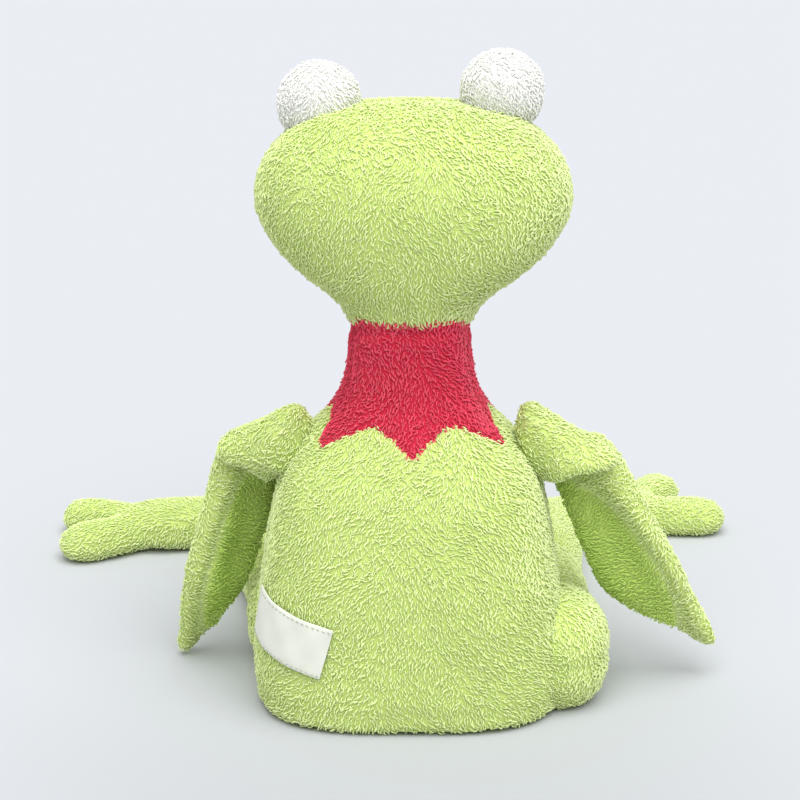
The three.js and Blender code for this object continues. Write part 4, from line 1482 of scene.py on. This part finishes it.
def felt_disc(name, centre, ball, radius):
    """A round of felt on the front of a ball, a little uneven at its edge."""
    points = [centre - BACK * (ball + FELT_SWELL)]
    for ring in range(1, FELT_RINGS + 1):
        share = ring / FELT_RINGS
        reach = radius * ring / FELT_RINGS
        depth = math.sqrt(ball ** 2 - reach ** 2) + FELT_SWELL * (1 - share ** 4)
        for i in range(FELT_CORNERS):
            angle = 2 * math.pi * i / FELT_CORNERS
            wobble = 1 + 0.012 * math.sin(3 * angle + 1.0) + 0.008 * math.sin(7 * angle)
            points.append(centre + [reach * wobble * math.cos(angle), -depth,
                                    reach * wobble * math.sin(angle)])
    faces = [(0, 1 + i, 1 + (i + 1) % FELT_CORNERS) for i in range(FELT_CORNERS)]
    for ring in range(FELT_RINGS - 1):
        for i in range(FELT_CORNERS):
            first = 1 + ring * FELT_CORNERS + i
            following = 1 + ring * FELT_CORNERS + (i + 1) % FELT_CORNERS
            faces.append((first, first + FELT_CORNERS, following + FELT_CORNERS, following))
    disc = mesh_object(name, points, faces)
    shape = bmesh.new()
    shape.from_mesh(disc.data)
    bmesh.ops.recalc_face_normals(shape, faces=shape.faces)
    if sum(face.normal.y for face in shape.faces) > 0:
        bmesh.ops.reverse_faces(shape, faces=shape.faces)
    shape.to_mesh(disc.data)
    shape.free()
    wall = disc.modifiers.new("wall", "SOLIDIFY")
    wall.thickness = FELT_THICKNESS
    wall.offset = -1
    edge = disc.modifiers.new("edge", "BEVEL")
    edge.width = FELT_ROUNDING
    edge.segments = 2
    finish_modifiers(disc).shade_smooth()
    disc.data.materials.append(bpy.data.materials["black_felt"])
    return disc


def thread_bars(name, lines, outs, thickness):
    """One long stitch over each line of three points."""
    pieces = []
    for i, line in enumerate(lines):
        reach = np.linalg.norm(line[2] - line[0])
        out = unit(outs[3 * i] + outs[3 * i + 2])
        pieces.append(sewn_line(f"{name}_{i}", [line], out, 2 * reach, reach * 2, thickness, "face_thread"))
    shape = bmesh.new()
    for piece, line in zip(pieces, lines):
        start = len(shape.verts)
        shape.from_mesh(piece.data)
        shape.verts.ensure_lookup_table()
        for vertex in shape.verts[start:]:
            vertex.co += Vector((line[1] - line[0]) * MM)
    mesh = bpy.data.meshes.new(name)
    shape.to_mesh(mesh)
    shape.free()
    mesh.materials.append(bpy.data.materials["face_thread"])
    for piece in pieces:
        bpy.data.objects.remove(piece)
    obj = bpy.data.objects.new(name, mesh)
    bpy.context.scene.collection.objects.link(obj)
    return obj


def make_nostril(side):
    """Upright bars of thread that fill an oval."""
    low, high = node_box(f"nostril_{side}")
    middle = (low + high) / 2
    lines, outs = [], []
    for i in range(NOSTRIL_BARS):
        step = i - NOSTRIL_BARS // 2
        x = middle[0] + step * NOSTRIL_BAR_PITCH
        reach = NOSTRIL_HALF_HEIGHT * math.sqrt(1 - (step / NOSTRIL_HALF_WIDTH) ** 2)
        ends, out = on_head([(x, middle[2] - reach), (x, middle[2] + reach)], THREAD_OVER_HEAD)
        lines.append([ends[0], (ends[0] + ends[1]) / 2, ends[1]])
        outs += [out[0], out[0], out[1]]
    nostril = thread_bars(f"nostril_{side}_satin", lines, outs, NOSTRIL_THREAD)
    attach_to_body(nostril, "head")
    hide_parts(f"nostril_{side}")


def make_mouth():
    """A stitched arc in the box of its node."""
    low, high = node_box("mouth_stitching")
    half = (high[0] - low[0]) / 2
    sag = high[2] - low[2] - 2 * MOUTH_MARGIN
    arc_radius = (half ** 2 + sag ** 2) / (2 * sag)
    reach = math.asin(min(1.0, half / arc_radius))
    middle = (low[0] + high[0]) / 2
    arc = []
    for i in range(MOUTH_POINTS):
        angle = between(-reach, reach, i / (MOUTH_POINTS - 1))
        arc.append((middle + arc_radius * math.sin(angle),
                    low[2] + MOUTH_MARGIN + arc_radius * (1 - math.cos(angle))))
    line, outs = on_head(arc, THREAD_OVER_HEAD)
    mouth = sewn_line("mouth_stitches", [line], np.array(outs), *MOUTH_STITCH, "face_thread")
    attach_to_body(mouth, "head")
    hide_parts("mouth_stitching")


class FROG_OT_face(bpy.types.Operator):
    """Makes the felt pupils and the stitched mouth and nostrils"""
    bl_idname = "frog.face"
    bl_label = "Face"

    def execute(self, context):
        size = sizes()
        for side in SIDES:
            pupil = felt_disc(f"pupil_{side}_felt", eye_centre(side), size.eye_radius / MM + FELT_OVER_BALL,
                              size.pupil_radius / MM)
            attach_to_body(pupil, "head")
            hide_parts(f"pupil_{side}")
            make_nostril(side)
        make_mouth()
        return {"FINISHED"}


# Pile

# Loops: start, middle and end of each kind, as shares of the loop's length: along, aside, up
LOOP_SHARES = [
    ((0, 0, -0.12), (0.15, 0, 0.62), (1.0, 0, 0.3)),
    ((0, 0, -0.12), (0.2, 0.14, 0.6), (0.9, 0.34, 0.36)),
    ((0, 0, -0.12), (0.2, -0.14, 0.62), (0.92, -0.3, 0.28)),
    ((0, 0, -0.12), (0.45, 0.05, 0.74), (1.05, 0.1, 0.08)),
    ((0, 0, -0.12), (0.0, 0.1, 0.62), (0.7, 0.2, 0.5)),
]
TINT_CELLS = 24
YARN_SWELL = (0.68, 1.3, 1.25)  # thickness at the root, how it grows and how it shrinks again
DENSITY = 2.6  # tried places per square of the spacing, before the spacing thins them out
SWIRL = 4.0
STAND_SHAKE = 0.22  # how far single loops lean off upright
STRETCH = (0.74, 1.22)  # length of the shortest and longest loops, as shares
PATCH_SCALE = 55.0  # of the patches that are a little lighter or deeper
CHANCE_SHARE = 0.75
TINT_SHIFT = 0.35
BAKE_LEFT, BAKE_WIDTH = 0.2, 0.8  # where a loop lies in its column, as shares
BAKE_FOOT, BAKE_HEIGHT, BAKE_SLANT = 0.04, 0.88, 0.06
WELL_INSIDE = 0.0012  # cloth this deep inside another has no pile
FIRST_SEED = 11
SEED_STEP = 10
BELOW_ONE = 0.9999  # keeps the last direction round a cloth in its last part
THINNER_SHARE = 0.5  # a smaller pile's yarn shrinks half as much as its loops
CLOSER_SHARE = 0.6


def pile_tree():
    """Geometry Nodes: loops of yarn on a cloth, lying the way its groom says."""
    tree = bpy.data.node_groups.new("pile", "GeometryNodeTree")
    ports = tree.interface
    ports.new_socket("Cloth", in_out="INPUT", socket_type="NodeSocketGeometry")
    for name in ("Loop Length", "Loop Radius", "Spacing", "Flow Size", "Flow Strength", "Jitter"):
        ports.new_socket(name, in_out="INPUT", socket_type="NodeSocketFloat")
    ports.new_socket("Seed", in_out="INPUT", socket_type="NodeSocketInt")
    ports.new_socket("Material", in_out="INPUT", socket_type="NodeSocketMaterial")
    ports.new_socket("Pile", in_out="OUTPUT", socket_type="NodeSocketGeometry")
    graph = Graph(tree)
    inputs = graph.add("NodeGroupInput")

    def given(name):
        return graph.also(inputs, name)

    length, radius = given("Loop Length"), given("Loop Radius")
    spacing, seed = given("Spacing"), given("Seed")

    # One loop of each kind, with how far along it and round it each point is
    corner = graph.add("GeometryNodeCurvePrimitiveCircle", None, {"Resolution": 3, "Radius": radius})
    corner = graph.add("GeometryNodeStoreNamedAttribute", {"domain": "POINT", "data_type": "FLOAT"}, {
        "Geometry": corner, "Name": "side", "Value": graph.add("GeometryNodeInputIndex") / 3.0})
    kinds = graph.tree.nodes.new("GeometryNodeJoinGeometry")
    for shares in LOOP_SHARES:
        start, middle, end = (graph.vector("SCALE", share, scale=length) for share in shares)
        yarn = graph.add("GeometryNodeCurveQuadraticBezier", None, {
            "Resolution": 2, "Start": start, "Middle": middle, "End": end})
        along = graph.add("GeometryNodeSplineParameter")
        yarn = graph.add("GeometryNodeStoreNamedAttribute", {"domain": "POINT", "data_type": "FLOAT"}, {
            "Geometry": yarn, "Name": "along", "Value": along})
        swell = YARN_SWELL[0] + YARN_SWELL[1] * along - YARN_SWELL[2] * along * along
        loop = graph.add("GeometryNodeCurveToMesh", None, {
            "Curve": yarn, "Profile Curve": corner, "Scale": swell, "Fill Caps": True})
        kind = graph.add("GeometryNodeGeometryToInstance", None, {0: loop})
        graph.tree.links.new(kind.socket, kinds.inputs[0])

    cover = graph.add("GeometryNodeInputNamedAttribute", {"data_type": "FLOAT"}, {"Name": "pile"})
    points = graph.add("GeometryNodeDistributePointsOnFaces", {"distribute_method": "POISSON"}, {
        "Mesh": given("Cloth"), "Distance Min": spacing, "Density Max": DENSITY / (spacing * spacing),
        "Density Factor": cover, "Seed": seed})
    normal = graph.also(points, "Normal")
    groom = graph.add("GeometryNodeInputNamedAttribute", {"data_type": "FLOAT_VECTOR"}, {"Name": "groom"})
    place = graph.add("GeometryNodeInputPosition")
    swirl = graph.also(graph.noise(place, 1.0 / given("Flow Size"), detail=1.0), "Color")
    swirl = graph.vector("SCALE", graph.vector("SUBTRACT", swirl, (0.5, 0.5, 0.5)),
                         scale=given("Flow Strength") * SWIRL)
    shake = graph.add("FunctionNodeRandomValue", {"data_type": "FLOAT_VECTOR"}, {
        0: (-1.0, -1.0, -1.0), 1: (1.0, 1.0, 1.0), "Seed": seed + 1.0})
    shaken = graph.vector("SCALE", shake, scale=given("Jitter"))
    lie = graph.vector("ADD", graph.vector("ADD", groom, swirl), shaken)
    stand = graph.vector("ADD", normal, graph.vector("SCALE", shake, scale=STAND_SHAKE))
    turn = graph.add("FunctionNodeAxesToRotation", {"primary_axis": "Z", "secondary_axis": "X"}, {
        "Primary Axis": stand, "Secondary Axis": lie})
    kind_index = graph.add("FunctionNodeRandomValue", {"data_type": "INT"}, {
        4: 0, 5: len(LOOP_SHARES) - 1, "Seed": seed + 2.0}, out=2)
    stretch = graph.add("FunctionNodeRandomValue", {"data_type": "FLOAT"}, {
        2: STRETCH[0], 3: STRETCH[1], "Seed": seed + 3.0}, out=1)
    placed = graph.add("GeometryNodeInstanceOnPoints", None, {
        "Points": points, "Instance": Socket(graph, kinds.outputs[0]), "Pick Instance": True,
        "Instance Index": kind_index, "Rotation": turn, "Scale": stretch})
    chance = graph.add("FunctionNodeRandomValue", {"data_type": "FLOAT"}, {
        2: 0.0, 3: 1.0, "Seed": seed + 4.0}, out=1)
    patch = graph.noise(place, PATCH_SCALE)
    # painted shade, carried as a tint below one half
    nap = graph.add("GeometryNodeInputNamedAttribute", {"data_type": "FLOAT"}, {"Name": "nap"})
    tint = (0.5 + 0.5 * graph.clamp(chance * CHANCE_SHARE + patch - TINT_SHIFT)) * (1.0 - nap)
    placed = graph.add("GeometryNodeStoreNamedAttribute", {"domain": "INSTANCE", "data_type": "FLOAT"}, {
        "Geometry": placed, "Name": "tint", "Value": tint})
    real = graph.add("GeometryNodeRealizeInstances", None, {"Geometry": placed})

    # Flat layout for baking: a column for each tint, the root at its foot
    names = {name: graph.add("GeometryNodeInputNamedAttribute", {"data_type": "FLOAT"}, {"Name": name})
             for name in ("tint", "along", "side")}
    cell = graph.add("ShaderNodeMath", {"operation": "FLOOR"}, {0: names["tint"] * (TINT_CELLS - 0.01)})
    column = (cell + BAKE_LEFT + names["side"] * BAKE_WIDTH) / TINT_CELLS
    height = BAKE_FOOT + names["along"] * BAKE_HEIGHT + names["side"] * names["side"] * BAKE_SLANT
    spot = graph.add("ShaderNodeCombineXYZ", None, {0: column, 1: height})
    real = graph.add("GeometryNodeStoreNamedAttribute", {"domain": "CORNER", "data_type": "FLOAT2"}, {
        "Geometry": real, "Name": "OFBake", "Value": spot})
    smooth = graph.add("GeometryNodeSetShadeSmooth", None, {0: real})
    dressed = graph.add("GeometryNodeSetMaterial", None, {
        "Geometry": smooth, "Material": given("Material")})
    graph.add_output(dressed)
    return tree


def hidden_share(obj, others):
    """1 for each point of obj that lies well inside one of the others, else 0."""
    points = mesh_points(obj.data)
    hidden = np.zeros(len(points))
    depsgraph = bpy.context.evaluated_depsgraph_get()
    for name in others:
        other = bpy.data.objects[name]
        low = mesh_points(other.data).min(axis=0)
        high = mesh_points(other.data).max(axis=0)
        near = np.nonzero(((points > low) & (points < high)).all(axis=1))[0]
        if not len(near):
            continue
        tree = BVHTree.FromObject(other, depsgraph)
        for index in near:
            spot = Vector(points[index] * MM)
            hit, normal, _, _ = tree.find_nearest(spot)
            if (spot - hit).dot(normal) < -WELL_INSIDE:
                hidden[index] = 1
    return hidden


class FROG_OT_pile(bpy.types.Operator):
    """Grows the terry's loops on every cloth"""
    bl_idname = "frog.pile"
    bl_label = "Terry pile"

    def execute(self, context):
        settings = pile()
        tree = bpy.data.node_groups["pile"]
        seed = FIRST_SEED
        for cloth in cloths:
            mesh = cloth.obj.data
            layer = mesh.attributes["pile"]
            cover = np.empty(len(mesh.vertices))
            layer.data.foreach_get("value", cover)
            cover = cover * (1 - hidden_share(cloth.obj, cloth.covered_by))
            layer.data.foreach_set("value", cover)
            centres = face_centres(mesh)
            turn = np.arctan2(centres[:, 1] - centres[:, 1].mean(), centres[:, 0] - centres[:, 0].mean())
            order = np.floor((turn / (2 * np.pi) + 0.5) * cloth.parts * BELOW_ONE).astype(int)
            for number in range(cloth.parts):
                name = cloth.obj.name.replace("_cloth", "_pile")
                if cloth.parts > 1:
                    name = f"{name}_{number + 1}"
                bed = part_of(cloth.obj, name + "_bed", order == number)
                seed += SEED_STEP
                made = run_tree(bed, tree, {
                    "Loop Length": settings.loop_length * cloth.scale,
                    "Loop Radius": settings.loop_thickness / 2 * between(THINNER_SHARE, 1.0, cloth.scale),
                    "Spacing": settings.loop_spacing * between(CLOSER_SHARE, 1.0, cloth.scale),
                    "Flow Size": settings.flow_size, "Flow Strength": settings.flow_strength,
                    "Jitter": settings.jitter, "Seed": seed,
                    "Material": bpy.data.materials[cloth.yarn + "_pile"]})
                bpy.data.objects.remove(bed)
                piece = bpy.data.objects.new(name, made)
                bpy.context.scene.collection.objects.link(piece)
                attach(piece, cloth.rig)
                cloth.yarn + "_terry"
        return {"FINISHED"}


class FROG_OT_finishes(bpy.types.Operator):
    """Makes the materials and the geometry trees"""
    bl_idname = "frog.finishes"
    bl_label = "Finishes"

    def execute(self, context):
        tone = colours()
        for yarn in ("green", "red", "white"):
            tip, root, ground = (getattr(tone, f"{yarn}_{part}") for part in ("tip", "root", "cloth"))
            # painted shade colour, used only on the green forearms' flats
            nap = tone.green_painted_shade if yarn == "green" else root
            pile_material(yarn + "_pile", tuple(root), tuple(tip), tuple(nap))
            cloth_material(yarn + "_cloth", tuple(ground), PALE_SEAM if yarn == "green" else tuple(ground))
        label_material()
        felt_material()
        thread_material("label_thread", tuple(tone.label_thread))
        thread_material("face_thread", tuple(tone.face_thread))
        stitch_tree()
        pile_tree()
        return {"FINISHED"}


# Stage
CAMERA_ELEVATION = math.radians(18)
CAMERA_DISTANCE = 1.1
CAMERA_AIM = (0.0025, 0.0, 0.128)
CAMERA_LENS = 120.7
CAMERA_SENSOR = 36.0
FLOOR_HALF = 6.0
SHADE_MIDDLE = (0.0, 0.13, 0.0)  # painted shadow: the floor is a little deeper in tone round here
SHADE_REACH = (0.03, 0.26)
SHADE_SHARE = 0.86
SKY_STRENGTH = 0.55
KEY_STRENGTH = 3.2
KEY_ANGLE = math.radians(60)
KEY_DIRECTION = (0.08, -0.4, -0.91)


class FROG_OT_stage(bpy.types.Operator):
    """Makes the floor, the light and the camera"""
    bl_idname = "frog.stage"
    bl_label = "Stage"

    def execute(self, context):
        scene = context.scene
        scene.view_settings.view_transform = "Standard"
        half = FLOOR_HALF / MM
        corners = [(-half, -half, 0), (half, -half, 0), (half, half, 0), (-half, half, 0)]
        floor = mesh_object("stage_floor", corners, [(0, 1, 2, 3)])
        material, graph, shader = new_material("pale_floor")
        tone = tuple(colours().floor)
        # painted shadow round the frog on the floor's colour
        away = graph.vector("LENGTH", graph.vector("SUBTRACT", object_point(graph), SHADE_MIDDLE))
        away = graph.also(away, "Value")
        shaded = tuple(SHADE_SHARE * channel for channel in tone[:3]) + (1.0,)
        shade = graph.mix(graph.smooth_step(away, *SHADE_REACH), shaded, tone)
        graph.tree.links.new(shade.socket, shader.inputs["Base Color"])
        shader.inputs["Roughness"].default_value = 0.8
        shader.inputs["Specular IOR Level"].default_value = 0.1
        floor.data.materials.append(material)

        world = bpy.data.worlds.new("studio")
        scene.world = world
        world.use_nodes = True
        graph = Graph(world.node_tree)
        background = world.node_tree.nodes["Background"]
        path = graph.add("ShaderNodeLightPath")
        mirrored, through = (graph.also(path, f"Is {kind} Ray") for kind in ("Glossy", "Transmission"))
        seen = graph.clamp(path + mirrored + through)
        colour = graph.mix(seen, (1.0, 1.0, 1.0, 1.0), tuple(colours().backdrop))
        strength = SKY_STRENGTH + seen * (1.0 - SKY_STRENGTH)
        world.node_tree.links.new(colour.socket, background.inputs["Color"])
        world.node_tree.links.new(strength.socket, background.inputs["Strength"])

        key = bpy.data.lights.new("key", "SUN")
        key.energy = KEY_STRENGTH
        key.angle = KEY_ANGLE
        key_obj = bpy.data.objects.new("key", key)
        scene.collection.objects.link(key_obj)
        key_obj.rotation_euler = Vector(KEY_DIRECTION).to_track_quat("-Z", "Y").to_euler()

        camera = bpy.data.cameras.new("camera")
        camera.lens = CAMERA_LENS
        camera.sensor_width = CAMERA_SENSOR
        camera.clip_end = 20
        camera_obj = bpy.data.objects.new("camera", camera)
        scene.collection.objects.link(camera_obj)
        away = Vector((0, math.cos(CAMERA_ELEVATION), math.sin(CAMERA_ELEVATION)))
        camera_obj.location = Vector(CAMERA_AIM) + away * CAMERA_DISTANCE
        camera_obj.rotation_euler = (-away).to_track_quat("-Z", "Y").to_euler()
        scene.camera = camera_obj
        return {"FINISHED"}


class FROG_PT_panel(bpy.types.Panel):
    """Sizes, pile and colours of the frog, and the pieces it is made of"""
    bl_idname = "FROG_PT_panel"
    bl_label = "Terry Frog"
    bl_space_type = "VIEW_3D"
    bl_region_type = "UI"
    bl_category = "Terry Frog"

    def draw(self, context):
        layout = self.layout
        for group in (context.scene.frog_sizes, context.scene.frog_pile, context.scene.frog_colours):
            box = layout.box()
            for name in group.bl_rna.properties.keys():
                if name not in ("rna_type", "name"):
                    box.prop(group, name)
        for operator in OPERATORS:
            layout.operator(operator.bl_idname)


OPERATORS = (
    FROG_OT_stage, FROG_OT_finishes, FROG_OT_torso, FROG_OT_head, FROG_OT_eyes, FROG_OT_arms, FROG_OT_legs,
    FROG_OT_label, FROG_OT_face, FROG_OT_pile,
)
GROUPS = {"frog_sizes": FrogSizes, "frog_pile": FrogPile, "frog_colours": FrogColours}


def register():
    for name, group in GROUPS.items():
        bpy.utils.register_class(group)
        setattr(bpy.types.Scene, name, bpy.props.PointerProperty(type=group))
    for item in (*OPERATORS, FROG_PT_panel):
        bpy.utils.register_class(item)


def unregister():
    for item in reversed((*OPERATORS, FROG_PT_panel)):
        bpy.utils.unregister_class(item)
    for name, group in GROUPS.items():
        delattr(bpy.types.Scene, name)
        bpy.utils.unregister_class(group)


def main():
    register()
    bpy.ops.frog.stage()
    bpy.ops.frog.finishes()
    bpy.ops.frog.torso()
    bpy.ops.frog.head()
    bpy.ops.frog.eyes()
    bpy.ops.frog.arms()
    bpy.ops.frog.legs()
    bpy.ops.frog.label()
    bpy.ops.frog.face()
    bpy.ops.frog.pile()


if __name__ == "__main__":
    main()
